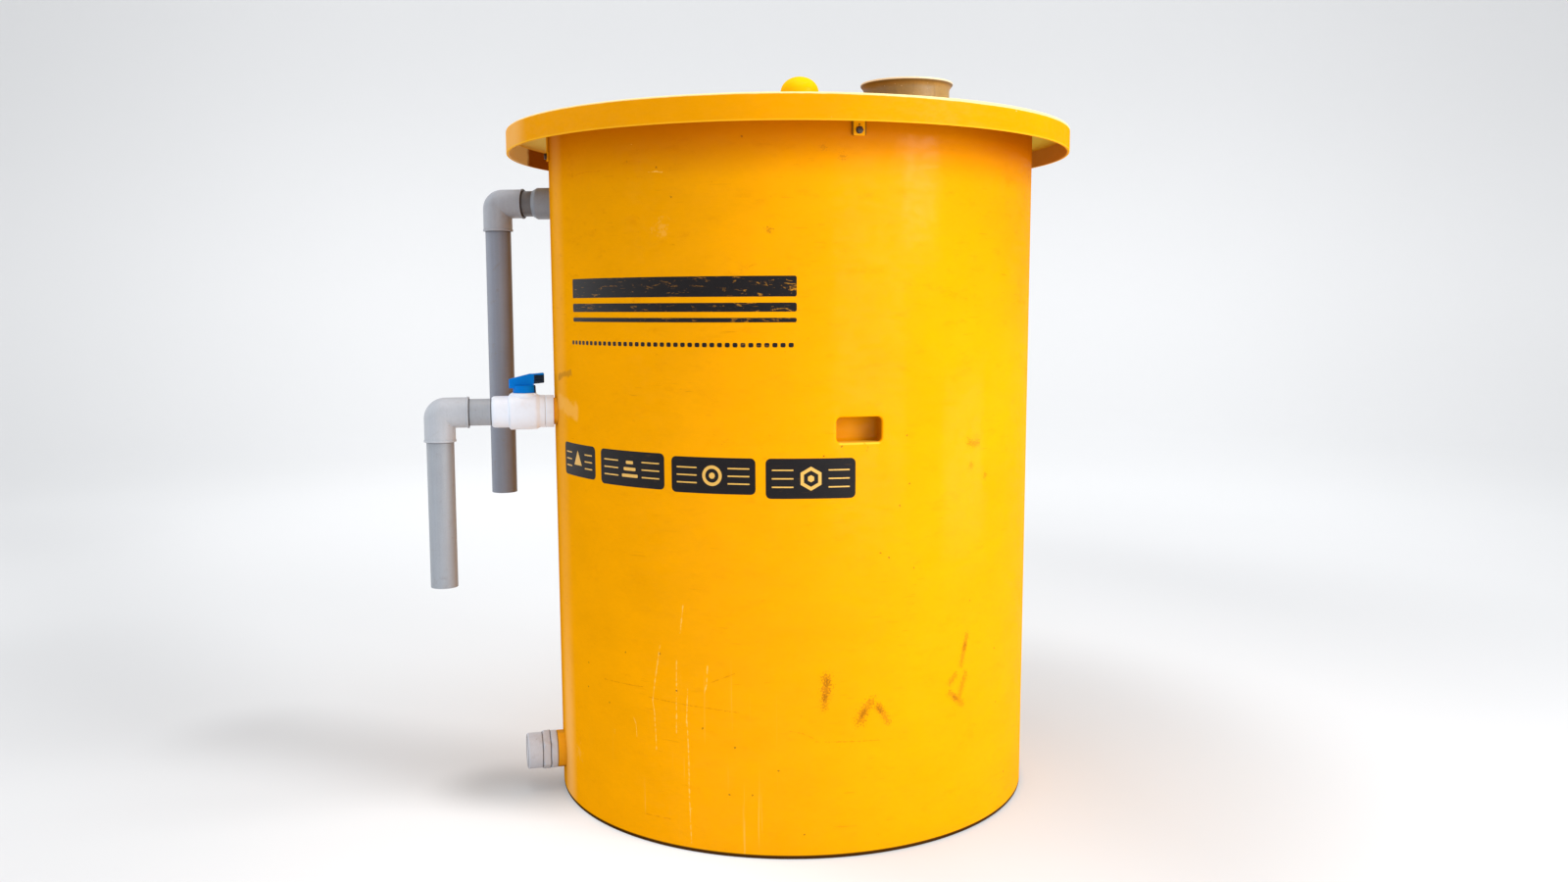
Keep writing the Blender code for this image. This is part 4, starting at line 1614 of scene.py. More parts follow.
@dataclass
class Lid:
    """The lid with its shallow crown and turned-down skirt, its knob and the inlet pipe through it."""

    radius: float = 0.5168
    thickness: float = 0.005
    top: float = 1.2130
    skirt: float = 1.1716
    shift: float = -0.004
    crown_start: float = 0.400
    pad: float = 0.075
    rise: float = 0.024
    knob_place: Point = (0.018, -0.0046)
    knob_radius: float = 0.0355
    knob_neck: float = 0.025
    knob_top: float = 1.3240
    knob_head: float = 0.044
    knob_dome: float = 0.028
    inlet_place: Point = (0.219, -0.032)
    inlet_radius: float = 0.080
    inlet_bore: float = 0.076
    inlet_rim: float = 0.0865
    inlet_top: float = 1.3130
    inlet_bottom: float = 0.350
    finish: YellowPlastic = field(default_factory=lambda: LidPlastic("lid_plastic"))

    def build(self) -> None:
        """Makes the three pieces."""
        publish(self.cover(), self.finish.material(), Slot.LID, "lid")
        knob = YellowPlastic("knob_plastic", colour=(0.88, 0.50, 0.002), roughness=0.26, waves=0.0002)
        publish(self.knob(), knob.material(), Slot.LID, "lid_knob")
        publish(self.inlet(), StainedPipe("inlet_plastic").material(), Slot.INLET, "inlet_pipe")

    def cover(self) -> bpy.types.Object:
        """Draws the lid from its middle out, round its edge and back under it.

        Returns:
            The finished lid.
        """
        under, inner = self.top - self.thickness, self.radius - self.thickness
        points = rounded([
            (0.02, self.top + self.rise, 0.0), (self.pad, self.top + self.rise, 0.025),
            (self.crown_start, self.top, 0.04), (self.radius, self.top, 0.0045),
            (self.radius, self.skirt, 0.0016), (inner, self.skirt, 0.0016), (inner, under, 0.003),
            (self.crown_start, under, 0.04), (self.pad, under + self.rise, 0.025),
            (0.02, under + self.rise, 0.0),
        ], 6)
        cover = capped("lid_cover", points, TANK_SIDES)
        cover.put(Matrix.Translation((self.shift, 0.0, 0.0)))
        place = Matrix.Translation((*self.inlet_place, 0.0))
        cover.combine("DIFFERENCE", rod(self.inlet_radius + GAP, self.skirt, self.top + 0.05, place, 96))
        return cover.done(35.0)

    def knob(self) -> bpy.types.Object:
        """Makes the knob: a neck with a small foot, and a domed head.

        Returns:
            The finished knob.
        """
        bottom = self.top + self.rise + GAP
        head, shoulder = self.knob_top - self.knob_head, self.knob_top - self.knob_dome
        base = rounded([
            (0.008, bottom, 0.0), (self.knob_neck + 0.003, bottom, 0.0008),
            (self.knob_neck, bottom + 0.005, 0.002), (self.knob_neck, head - 0.006, 0.003),
            (self.knob_radius, head, 0.004), (self.knob_radius, shoulder, 0.0),
        ], 4)
        steps = 14
        turns = [math.radians(90.0 * (step + 1) / (steps + 1)) for step in range(steps)]
        dome = [
            (self.knob_radius * math.cos(turn), shoulder + self.knob_dome * math.sin(turn)) for turn in turns
        ]
        knob = capped("lid_knob_head", [*base, *dome], PIPE_SIDES)
        return knob.put(Matrix.Translation((*self.knob_place, 0.0))).done()

    def inlet(self) -> bpy.types.Object:
        """Makes the inlet pipe with its flared mouth.

        Returns:
            The finished pipe.
        """
        top, bottom = self.inlet_top, self.inlet_bottom
        pipe = turned("inlet_tube", [
            (self.inlet_radius, bottom, 0.0008), (self.inlet_radius, top - 0.0115, 0.005),
            (self.inlet_rim, top - 0.0040, 0.0015), (self.inlet_rim, top, 0.0011),
            (self.inlet_rim - 0.0028, top, 0.0011), (self.inlet_bore, top - 0.0105, 0.004),
            (self.inlet_bore, bottom, 0.0008),
        ], 96)
        return pipe.put(Matrix.Translation((*self.inlet_place, 0.0))).done(40.0)


@dataclass
class LidFixings:
    """The angle brackets under the lid, and the bolt through each."""

    width: float = 0.023
    thickness: float = 0.003
    bottom: float = 1.1590
    under_lid: float = 1.2080
    foot: float = 0.026
    bolt_z: float = 1.1675
    bolt_radius: float = 0.003
    bolt_length: float = 0.012
    head_radius: float = 0.0058
    head_height: float = 0.0042

    @property
    def stand_off(self) -> float:
        """How far the bracket stands off the wall at the bolt, because the wall widens upward."""
        return TANK.flare * (self.under_lid - GAP - self.bolt_z) + GAP

    def build(self) -> None:
        """Makes a bracket and a bolt once, and copies them round the tank."""
        # The band darkens each bracket's top under the lid, as painted shade.
        paint = BracketPaint("bracket_paint", grime_and_shade=((1.197, 1.209, 0.6),)).material()
        steel = Steel("bolt_metal").material()
        bracket, bolt = self.bracket(), self.bolt()
        for side in Side:
            place = Line(side.value, self.bolt_z).upright()
            name = side.name.lower()
            leg = copied(bracket, f"bracket_{name}", place).done()
            publish(leg, paint, Slot.BRACKET, f"lid_bracket_{name}")
            screw = copied(bolt, f"bolt_{name}", place).done()
            publish(screw, steel, Slot.STEEL, f"lid_bolt_{name}")
        bpy.data.objects.remove(bracket)
        bpy.data.objects.remove(bolt)

    def bracket(self) -> bpy.types.Object:
        """Bends an angle out of a plate: a leg down the wall and a foot under the lid.

        Returns:
            The bracket, at the origin.
        """
        half, start = self.width / 2.0, self.stand_off
        top, bottom = self.under_lid - GAP - self.bolt_z, self.bottom - self.bolt_z
        plate = Bench.box(
            "bracket", (start, -half, bottom), (start + self.thickness, half, top - self.thickness),
        )
        plate.select("FACE", lambda face: face.normal.z > 0.9)
        plate.extrude(z=self.thickness)
        plate.select("FACE", lambda face: face.normal.x > 0.9
                     and face.calc_center_median().z > top - self.thickness)
        plate.extrude(x=self.foot - self.thickness)
        plate.edges(lambda end: abs(end.x - start) < HAIR and end.z > top - HAIR, 1, half)
        plate.bevel(0.0026, 4)
        plate.edges(lambda end: abs(end.x - start - self.thickness) < HAIR
                    and abs(end.z - top + self.thickness) < HAIR, 1, half)
        plate.bevel(0.002, 4)
        plate.select("EDGE", lambda edge: edge.calc_length() < self.thickness + HAIR and all(
            vertex.co.z < bottom + HAIR for vertex in edge.verts))
        plate.bevel(0.004, 4)
        plate.modify("BEVEL", width=0.0004, segments=2, limit_method="ANGLE", angle_limit=math.radians(50.0))
        plate.combine("DIFFERENCE", rod(self.bolt_radius + GAP, 0.0, 0.02, spun(90.0, "Y"), BOLT_SIDES))
        return plate.done()

    def bolt(self) -> bpy.types.Object:
        """Makes a hexagon bolt with a flange under its head and a chamfered top.

        Returns:
            The bolt, at the origin.
        """
        start = self.stand_off + self.thickness + GAP
        tip, top = start - self.bolt_length, start + self.head_height
        head = Bench.drum("bolt_head", self.head_radius, start + 0.0008, top, 6)
        head.edges(lambda end: end.z > top - HAIR)
        head.bevel(0.0006, 2)
        head.raw()
        shank = capped("bolt", [
            (0.001, tip), (self.bolt_radius - 0.0005, tip), (self.bolt_radius, tip + 0.0005),
            (self.bolt_radius, start), (self.head_radius, start), (self.head_radius, start + 0.0006),
            (self.head_radius - 0.0006, start + 0.0010), (0.001, start + 0.0010),
        ], BOLT_SIDES)
        shank.combine("UNION", head.object)
        return shank.put(spun(90.0, "Y")).done()


def elbow(name: str, place: Matrix) -> bpy.types.Object:
    """Makes a square elbow: sharp on its inside, rounded on its outside, with a lip at each socket.

    Args:
        name: The piece's name.
        place: Where its two axes cross, with Z away from the tank and X down.

    Returns:
        The finished elbow.
    """
    reach, end, stop = 0.05, -PIPE.leg, PIPE.socket - PIPE.leg
    radius, corner, step = PIPE.elbow_radius, PIPE.corner, math.radians(7.5)
    lip, low = PIPE.lip_radius, end + PIPE.lip
    half = Sweep(name, PIPE.bore, reach, PIPE_SIDES)
    half.follow([
        (PIPE.bore, stop), (PIPE.seat, stop), (PIPE.seat, end + 0.0006), (PIPE.seat + 0.0006, end),
        (lip - 0.0006, end), (lip, end + 0.0006), (lip, low - 0.0006), (lip - 0.0005, low),
        (radius, low + 0.0002), (radius, reach),
    ])
    slope = (radius - corner) / radius

    def above(vertex: Any) -> float:
        """Height of a vertex over the two planes that the half ends at."""
        return vertex.co.z + vertex.co.x * (1.0 if vertex.co.x > 0.0 else slope)

    half.select("FACE", lambda face: face.calc_center_median().x > 0.0)
    half.cut(Vector(), Vector((1.0, 0.0, 1.0)))
    half.select("FACE", lambda face: face.calc_center_median().x < 0.0)
    half.cut(Vector(), Vector((slope, 0.0, 1.0)))
    half.select("VERT", lambda vertex: above(vertex) > PRECISE)
    half.drop()
    half.select("VERT", lambda vertex: vertex.co.x < HAIR / 4.0 and abs(above(vertex)) < PRECISE)
    across = [radius - corner * (1.0 - math.cos(step * number)) for number in range(7)]
    beyond = [radius - corner * (1.0 - math.sin(step * number)) for number in range(7)]
    for number in range(6):
        half.extrude()
        half.resize(across[number + 1] / across[number], 1.0, beyond[number + 1] / beyond[number], Vector())
    half.select_all()
    bpy.ops.mesh.spin(steps=1, dupli=True, angle=math.pi, center=(0.0, 0.0, 0.0), axis=(1.0, 0.0, -1.0))
    return half.put(place).done(28.0)


@dataclass
class PipeRun:
    """The end of a line: a short level pipe, an elbow and a pipe that hangs from it, open at its end."""

    elbow_place: float
    end_z: float

    def lips(self, line: Line) -> tuple[Joint, Joint]:
        """Planes of the elbow's two ends, the level one first."""
        edge = PIPE.leg + 0.0002
        return line.plane(self.elbow_place - edge), ((0.0, 0.0, 1.0), line.height - edge)

    def run(
        self, name: str, line: Line, start: float, short: bpy.types.Material, fitting: bpy.types.Material,
        pipe: bpy.types.Material,
    ) -> None:
        """Makes the three pieces.

        Args:
            name: First word of their names and of their solids' names.
            line: The line they are on.
            start: Where the short pipe starts on it.
            short: The short pipe's finish.
            fitting: The elbow's finish.
            pipe: The down pipe's finish.
        """
        end = self.elbow_place - PIPE.leg + PIPE.socket - GAP
        stub = tube(f"{name}_short_pipe", PIPE.radius, PIPE.bore, start, end)
        publish(stub.put(line.along()).done(), short, Slot.PIPE, f"{name}_stub_pipe")
        publish(elbow(f"{name}_bend", line.along(self.elbow_place)), fitting, Slot.PIPE, f"{name}_elbow")
        top = PIPE.socket - PIPE.leg - GAP
        drop = tube(f"{name}_drop", PIPE.radius, PIPE.bore, self.end_z - line.height, top)
        publish(drop.put(line.upright(self.elbow_place)).done(), pipe, Slot.PIPE, f"{name}_down_pipe")


@dataclass
class OverflowLine(PipeRun):
    """The line high on the tank's left: a socket through the wall, a short pipe, an elbow and a down pipe."""

    elbow_place: float = 0.1180
    end_z: float = 0.5380
    socket_radius: float = 0.0297
    socket_end: float = 0.0465
    chamfer: float = 0.008

    def build(self) -> None:
        """Makes the four pieces."""
        joints = self.lips(OVERFLOW)
        pipe = GreyPlastic("overflow_pipe_plastic", (0.215, 0.235, 0.290), shadow=0.45, joints=joints)
        # The short pipe's grey is darkened as painted shade under the lid.
        short = GreyPlastic("overflow_stub_shaded_plastic", (0.125, 0.122, 0.128), joints=joints)
        fitting = GreyPlastic(
            "overflow_fitting_plastic", (0.315, 0.330, 0.370), stained=0.25, joints=joints[:1],
        )
        collar = GreyPlastic("overflow_socket_plastic", (0.235, 0.262, 0.305))
        stop = self.socket_end - PIPE.socket
        socket = turned("overflow_wall_socket", [
            (PIPE.radius + 0.001, self.socket_end, 0.0004),
            (self.socket_radius, self.socket_end - self.chamfer, 0.001),
            (self.socket_radius, -PIPE.inside, 0.0006), (PIPE.bore, -PIPE.inside, 0.0006),
            (PIPE.bore, stop, 0.0), (PIPE.seat, stop, 0.0), (PIPE.seat, self.socket_end, 0.0002),
        ], PIPE_SIDES)
        publish(socket.put(OVERFLOW.along()).done(), collar.material(), Slot.PIPE, "overflow_socket")
        self.run("overflow", OVERFLOW, stop + GAP, short.material(), fitting.material(), pipe.material())


@dataclass
class BallValve:
    """The white ball valve with its ring, and the blue handle on its stem."""

    start: float = 0.0045
    ring_end: float = 0.0200
    neck_end: float = 0.0288
    shoulder: float = 0.0027
    slope: float = 0.0072
    body_end: float = 0.0842
    end: float = 0.1143
    ring_radius: float = 0.0293
    body_radius: float = 0.0328
    socket_radius: float = 0.0286
    bore: float = 0.020
    insert: float = 0.0090
    stem: float = 0.0560
    pad_radius: float = 0.0215
    pad_bottom: float = 0.0260
    pad_top: float = 0.0338
    hub_radius: float = 0.0205
    hub_top: float = 0.0475
    lever_width: float = 0.017
    lever_heel: float = -0.0275
    lever_knee: float = 0.0100
    lever_bottom: float = 0.0425
    lever_top: float = 0.0680
    arm: float = 0.0186
    grooves: int = 3

    def build(self) -> None:
        """Makes the three pieces."""
        white = WhitePlastic("valve_plastic", spots=(
            OUTLET.spot(0.0300, 0.0285, -0.016), OUTLET.spot(0.0345, 0.0315, -0.008),
            OUTLET.spot(0.0300, -0.0275, -0.014),
        )).material()
        blue = BluePlastic("handle_plastic").material()
        ring = turned("valve_end_ring", [
            (self.ring_radius, self.start, 0.0012), (self.ring_radius, self.ring_end - GAP, 0.0014),
            (PIPE.seat, self.ring_end - GAP, 0.0003), (PIPE.seat, self.start, 0.0006),
        ], PIPE_SIDES)
        publish(ring.put(OUTLET.along()).done(), white, Slot.VALVE, "valve_ring")
        publish(self.body(), white, Slot.VALVE, "valve_body")
        publish(self.handle(), blue, Slot.HANDLE, "valve_handle", body=HANDLE_BODY)

    def body(self) -> bpy.types.Object:
        """Turns the body with its shoulders and grooves, and sets the saddle for the stem on it.

        Returns:
            The finished body.
        """
        body = turned("valve_housing", [
            (self.socket_radius - 0.0034, self.end, 0.0010),
            (self.socket_radius - 0.0010, self.end - 0.0022, 0.0018),
            (self.socket_radius, self.end - 0.0065, 0.0030),
            (self.socket_radius, self.body_end + 0.0012, 0.0004),
            (self.socket_radius - 0.0004, self.body_end + 0.0004, 0.0),
            (self.body_radius, self.body_end - self.shoulder, 0.0012),
            (self.body_radius, self.neck_end + self.slope, 0.0024),
            (self.ring_radius, self.neck_end, 0.0006), (self.ring_radius, self.ring_end, 0.0014),
            (PIPE.seat, self.ring_end, 0.0003), (PIPE.seat, self.ring_end + self.insert, 0.0),
            (self.bore, self.ring_end + self.insert, 0.0), (self.bore, self.end - PIPE.socket, 0.0),
            (PIPE.seat, self.end - PIPE.socket, 0.0), (PIPE.seat, self.end, 0.0008),
        ], 72, 3).put(OUTLET.along())
        body.raw()
        saddle = Bench.box("saddle", (-0.0215, -0.0125, 0.0230), (0.0240, 0.0125, self.pad_top))
        saddle.modify("BEVEL", width=0.0016, segments=3)
        saddle.put(OUTLET.upright(self.stem)).raw()
        pad = Bench.drum("pad", self.pad_radius, self.pad_bottom, self.pad_top, 56)
        pad.edges(lambda end: end.z > self.pad_top - HAIR)
        pad.bevel(0.0010, 3)
        pad.put(OUTLET.upright(self.stem)).raw()
        whole = joined("valve_housing", [body.object])
        return whole.combine("UNION", saddle.object, pad.object).done(32.0)

    def handle(self) -> bpy.types.Object:
        """Shapes the lever out of a block and sets it on its round hub.

        Returns:
            The finished handle.
        """
        half = self.lever_width / 2.0
        hub = capped("hub", rounded([
            (0.006, self.pad_top + GAP, 0.0), (self.hub_radius, self.pad_top + GAP, 0.0010),
            (self.hub_radius - 0.0006, self.hub_top, 0.0022), (0.006, self.hub_top, 0.0),
        ], 4), 56)
        hub.raw()
        lever = Bench.box(
            "lever", (self.lever_heel, -half, self.lever_bottom), (self.lever_knee, half, self.lever_top),
        )
        lever.select("VERT", lambda vertex: vertex.co.x < -0.02 and vertex.co.z > 0.06)
        lever.move(z=-0.0095)
        lever.select("FACE", lambda face: face.normal.x > 0.9)
        lever.extrude(x=0.0065)
        lever.extrude(x=0.0004)
        lever.select("VERT", lambda vertex: vertex.co.x > 0.0166 and vertex.co.z < 0.05)
        lever.move(z=0.0075)
        lever.select("FACE", lambda face: face.normal.x > 0.9 and face.calc_center_median().z > 0.05)
        lever.extrude(x=self.arm, z=0.0018)
        lever.resize(1.0, 0.86, 1.0, Vector())
        lever.edges(lambda end: end.x > 0.034 and end.z > 0.06)
        lever.bevel(0.0028, 4)
        lever.edges(lambda end: end.x < -0.027, 2, 0.01)
        lever.bevel(0.0060, 5)
        lever.modify("BEVEL", width=0.0011, segments=3, limit_method="ANGLE", angle_limit=math.radians(25.0))
        lever.raw()
        grooves = []
        for number in range(self.grooves):
            z = 0.0558 + 0.0040 * number
            for side in (-1.0, 1.0):
                y = sorted((side * (half - 0.0036), side * (half + 0.002)))
                slot = Bench.box("groove", (0.0195, y[0], z), (0.0345, y[1], z + 0.0020))
                grooves.append(slot.raw())
        whole = joined("valve_lever", [lever.object])
        whole.combine("DIFFERENCE", *grooves).combine("UNION", hub.object)
        return whole.put(OUTLET.upright(self.stem) @ spun(180.0, "Z")).done(32.0)


@dataclass
class OutletLine(PipeRun):
    """The line in the middle of the tank's left: nozzle, valve, short pipe, elbow and down pipe."""

    elbow_place: float = 0.2060
    end_z: float = 0.3950
    valve: BallValve = field(default_factory=BallValve)

    def build(self) -> None:
        """Makes the nozzle, the valve and the three pieces beyond it."""
        yellow = YellowPlastic(
            "nozzle_plastic", colour=(0.90, 0.42, 0.02), deep=(0.30, 0.12, 0.01), waves=0.0001,
            grime_and_shade=((0.700, 0.688, 0.5),),
        ).material()
        nozzle_end = self.valve.ring_end + self.valve.insert - GAP
        nozzle = tube("outlet_wall_nozzle", PIPE.radius, PIPE.bore, -PIPE.inside, nozzle_end)
        publish(nozzle.put(OUTLET.along()).done(), yellow, Slot.TANK, "outlet_nozzle")
        self.valve.build()
        level_lip, low_lip = self.lips(OUTLET)
        pipe = GreyPlastic(
            "outlet_pipe_plastic", (0.325, 0.352, 0.395), stained=0.30, shadow=0.30,
            smudges=(OUTLET.spot(0.141, -0.010, -0.022), OUTLET.spot(0.143, 0.004, -0.024)),
            joints=(level_lip, OUTLET.plane(self.valve.end + 0.0008), low_lip),
        ).material()
        fitting = GreyPlastic(
            "outlet_fitting_plastic", (0.425, 0.450, 0.495), stained=0.22, joints=(level_lip,),
        ).material()
        self.run("outlet", OUTLET, self.valve.end - PIPE.socket + GAP, pipe, fitting, pipe)


@dataclass
class Drain:
    """The capped drain near the ground."""

    nozzle: float = 0.0338
    nozzle_inside: float = 0.020
    ring_start: float = 0.0135
    ring_end: float = 0.0268
    ring: float = 0.0345
    hex_end: float = 0.0412
    hex_corner: float = 0.0374
    hex_face: float = 0.0334
    cap_end: float = 0.0685
    cap: float = 0.0328
    stub: float = 0.0300
    stub_wall: float = 0.0030
    stub_end: float = 0.0600

    def build(self) -> None:
        """Makes the five pieces."""
        seat, place = self.stub + GAP, DRAIN.along()
        # The nozzle is darker low by the ground, as painted shade, and darker along its top.
        yellow = YellowPlastic(
            "drain_nozzle_plastic", colour=(0.82, 0.36, 0.012), deep=(0.12, 0.045, 0.004), waves=0.0001,
            grime_and_shade=((0.054, 0.040, 0.85), (0.106, 0.110, 0.35)),
        ).material()
        joints = (self.ring_start, self.ring_end, self.hex_end, self.cap_end + 0.0004)
        grey = GreyPlastic(
            "drain_plastic", (0.50, 0.51, 0.56), stain=(0.24, 0.19, 0.15), stained=0.32,
            joints=tuple(DRAIN.plane(joint) for joint in joints), seam=(0.14, 0.12, 0.12),
        ).material()
        nozzle = turned("drain_wall_nozzle", [
            (self.nozzle, -self.nozzle_inside, 0.0005), (self.nozzle, self.ring_start - GAP, 0.0012),
            (seat, self.ring_start - GAP, 0.0), (seat, -self.nozzle_inside, 0.0005),
        ], PIPE_SIDES)
        publish(nozzle.put(place).done(), yellow, Slot.TANK, "drain_nozzle")
        bore = self.stub - self.stub_wall
        stub = tube("drain_pipe", self.stub, bore, -self.nozzle_inside, self.stub_end)
        publish(stub.put(place).done(), grey, Slot.FITTING, "drain_stub")
        ring = turned("drain_flange", [
            (self.ring - 0.001, self.ring_start, 0.0005), (self.ring, self.ring_start + 0.003, 0.001),
            (self.ring, self.ring_end - GAP - 0.0012, 0.0010),
            (self.ring - 0.0016, self.ring_end - GAP, 0.0003), (seat, self.ring_end - GAP, 0.0),
            (seat, self.ring_start, 0.0),
        ], PIPE_SIDES)
        publish(ring.put(place).done(), grey, Slot.FITTING, "drain_ring")
        publish(self.collar(seat), grey, Slot.FITTING, "drain_collar")
        publish(self.cover(seat), grey, Slot.FITTING, "drain_cap")

    def collar(self, seat: float) -> bpy.types.Object:
        """Makes the hexagonal collar with its corners chamfered.

        Args:
            seat: Radius of its bore.

        Returns:
            The finished collar.
        """
        end = self.hex_end - GAP
        wide = self.hex_corner + 0.002
        chamfer = capped("drain_hexagon_cone", [
            (0.01, self.ring_end - 0.001), (wide, self.ring_end - 0.001), (wide, end - 0.0060),
            (self.hex_face, end), (0.01, end),
        ], 96).done()
        collar = Bench.drum("drain_hexagon", self.hex_corner, self.ring_end, end + 0.001, 6)
        collar.put(spun(30.0, "Z"))
        collar.edges(lambda end: True, 2, 0.005)
        collar.bevel(0.0012, 3)
        collar.combine("INTERSECT", chamfer)
        collar.modify("BEVEL", width=0.0006, segments=2, limit_method="ANGLE", angle_limit=math.radians(60.0))
        collar.combine("DIFFERENCE", rod(seat, 0.0, 0.06, Matrix.Identity(4)))
        return collar.put(DRAIN.along()).done()

    def cover(self, seat: float) -> bpy.types.Object:
        """Turns the cap: a round wall, a rounded rim and a closed face with a shallow recess.

        Args:
            seat: Radius of its bore.

        Returns:
            The finished cap.
        """
        inner = self.stub_end + GAP
        points = rounded([
            (0.004, self.cap_end - 0.0012, 0.0), (0.024, self.cap_end - 0.0012, 0.001),
            (0.0262, self.cap_end, 0.0008), (self.cap, self.cap_end, 0.0045),
            (self.cap, self.hex_end, 0.0006), (seat, self.hex_end, 0.0), (seat, inner, 0.0),
            (0.004, inner, 0.0),
        ], 5)
        return capped("drain_cap_cover", points, 72).put(DRAIN.along()).done()


class Motif(Enum):
    """The plain signs on the panels."""

    TRIANGLE = "triangle"
    BARS = "bars"
    RING = "ring"
    HEXAGON = "hexagon"


@dataclass(frozen=True)
class Panel:
    """A printed panel's edges on the wall, as distances along it and heights, and its sign."""

    left: float
    right: float
    low: float
    high: float
    motif: Motif


@dataclass
class Prints:
    """The plain stripes and panels printed on the wall, as thin plates bent round it."""

    thickness: float = 0.0002
    stand_off: float = 0.0001
    stripe_left: float = -0.5500
    stripe_right: float = -0.1010
    stripes: tuple[Point, ...] = ((0.9130, 0.9450), (0.8895, 0.9035), (0.8730, 0.8800))
    stripe_corner: float = 0.0030
    dashes: int = 36
    dash_low: float = 0.8340
    dash_high: float = 0.8410
    dash_left: float = -0.5560
    dash_right: float = -0.1010
    dash_share: float = 0.62
    dash_corner: float = 0.0022
    panels: tuple[Panel, ...] = (
        Panel(-0.6037, -0.4836, 0.6060, 0.6625, Motif.TRIANGLE),
        Panel(-0.4665, -0.3231, 0.6030, 0.6620, Motif.BARS),
        Panel(-0.3092, -0.1666, 0.6010, 0.6590, Motif.RING),
        Panel(-0.1503, -0.0070, 0.5950, 0.6590, Motif.HEXAGON),
    )
    panel_corner: float = 0.0080
    rule_inset: float = 0.0095
    rule_clear: float = 0.0085
    rule_pitch: float = 0.2108
    rule_half: float = 0.0011
    step: float = 0.012

    def build(self) -> None:
        """Makes the stripes, the dashes, the panels and their signs."""
        paint = BlackPrint("stripe_paint", 0.7).material()
        left, right = self.stripe_left, self.stripe_right
        bars = [self.plate(left, right, low, high, self.stripe_corner) for low, high in self.stripes]
        publish(self.wrapped("wall_stripes", bars), paint, None)
        pitch = (self.dash_right - self.dash_left) / self.dashes
        dashes = []
        for number in range(self.dashes):
            left = self.dash_left + pitch * number
            right = left + pitch * self.dash_share
            dashes.append(self.plate(left, right, self.dash_low, self.dash_high, self.dash_corner))
        publish(self.wrapped("wall_dashes", dashes), paint, None)
        ground = BlackPrint("panel_paint", 0.10).material()
        for number, panel in enumerate(self.panels, 1):
            plate = self.plate(panel.left, panel.right, panel.low, panel.high, self.panel_corner)
            publish(self.wrapped(f"wall_panel_{number}", [plate]), ground, None)
        signs = [piece for panel in self.panels for piece in self.signs(panel)]
        pale = PaleMark("sign_paint").material()
        publish(self.wrapped("wall_panel_signs", signs, lift=self.thickness), pale, None)

    def plate(self, left: float, right: float, low: float, high: float, corner: float) -> bpy.types.Object:
        """Makes a flat plate with round corners, its face to -Y.

        Args:
            left: Its left edge, as a distance along the wall.
            right: Its right edge.
            low: Height of its lower edge.
            high: Height of its upper edge.
            corner: Size of its corners.

        Returns:
            The plate.
        """
        plate = Bench.box("plate", (left, -self.thickness, low), (right, 0.0, high))
        plate.edges(lambda end: True, 1, self.thickness / 2.0)
        plate.bevel(corner, 5)
        return plate.raw()

    def signs(self, panel: Panel) -> list[bpy.types.Object]:
        """Makes one panel's sign, and the thin rules on both sides of it.

        Args:
            panel: The panel.

        Returns:
            The flat pieces.
        """
        middle, centre = (panel.left + panel.right) / 2.0, (panel.low + panel.high) / 2.0
        size = 0.30 * (panel.high - panel.low)
        upright = Matrix.Translation((middle, 0.0, centre)) @ spun(90.0, "X")
        pieces = []
        if panel.motif is Motif.TRIANGLE:
            pieces.append(Bench.drum("sign", size, 0.0, self.thickness, 3).put(upright).raw())
        elif panel.motif is Motif.BARS:
            for number, share in enumerate((0.45, 0.75, 1.0)):
                low, half = centre + size * (0.45 - 0.62 * number), size * share
                pieces.append(self.plate(middle - half, middle + half, low, low + 0.30 * size, 0.0016))
        else:
            sides, outer = (6, size) if panel.motif is Motif.HEXAGON else (40, 0.95 * size)
            inner, top = 0.68 * outer, self.thickness
            profile = [(outer, 0.0, 0.0), (outer, top, 0.0), (inner, top, 0.0), (inner, 0.0, 0.0)]
            ring = turned("sign", profile, sides)
            pieces.append(ring.put(upright).raw())
            pieces.append(Bench.drum("sign", 0.30 * outer, 0.0, self.thickness, sides).put(upright).raw())
        return pieces + self.rules(panel, middle, centre, size)

    def rules(self, panel: Panel, middle: float, centre: float, size: float) -> list[bpy.types.Object]:
        """Makes the thin level rules left and right of a sign.

        Args:
            panel: The panel.
            middle: The sign's middle along the wall.
            centre: Height of its middle.
            size: Its radius.

        Returns:
            The flat pieces.
        """
        clear, inset, half = size + self.rule_clear, self.rule_inset, self.rule_half
        starts = ((panel.left + inset, middle - clear), (middle + clear, panel.right - inset))
        pieces = []
        for row in (-1.0, 0.0, 1.0):
            z = centre + row * (panel.high - panel.low) * self.rule_pitch
            pieces += [self.plate(left, right, z - half, z + half, 0.0010) for left, right in starts]
        return pieces

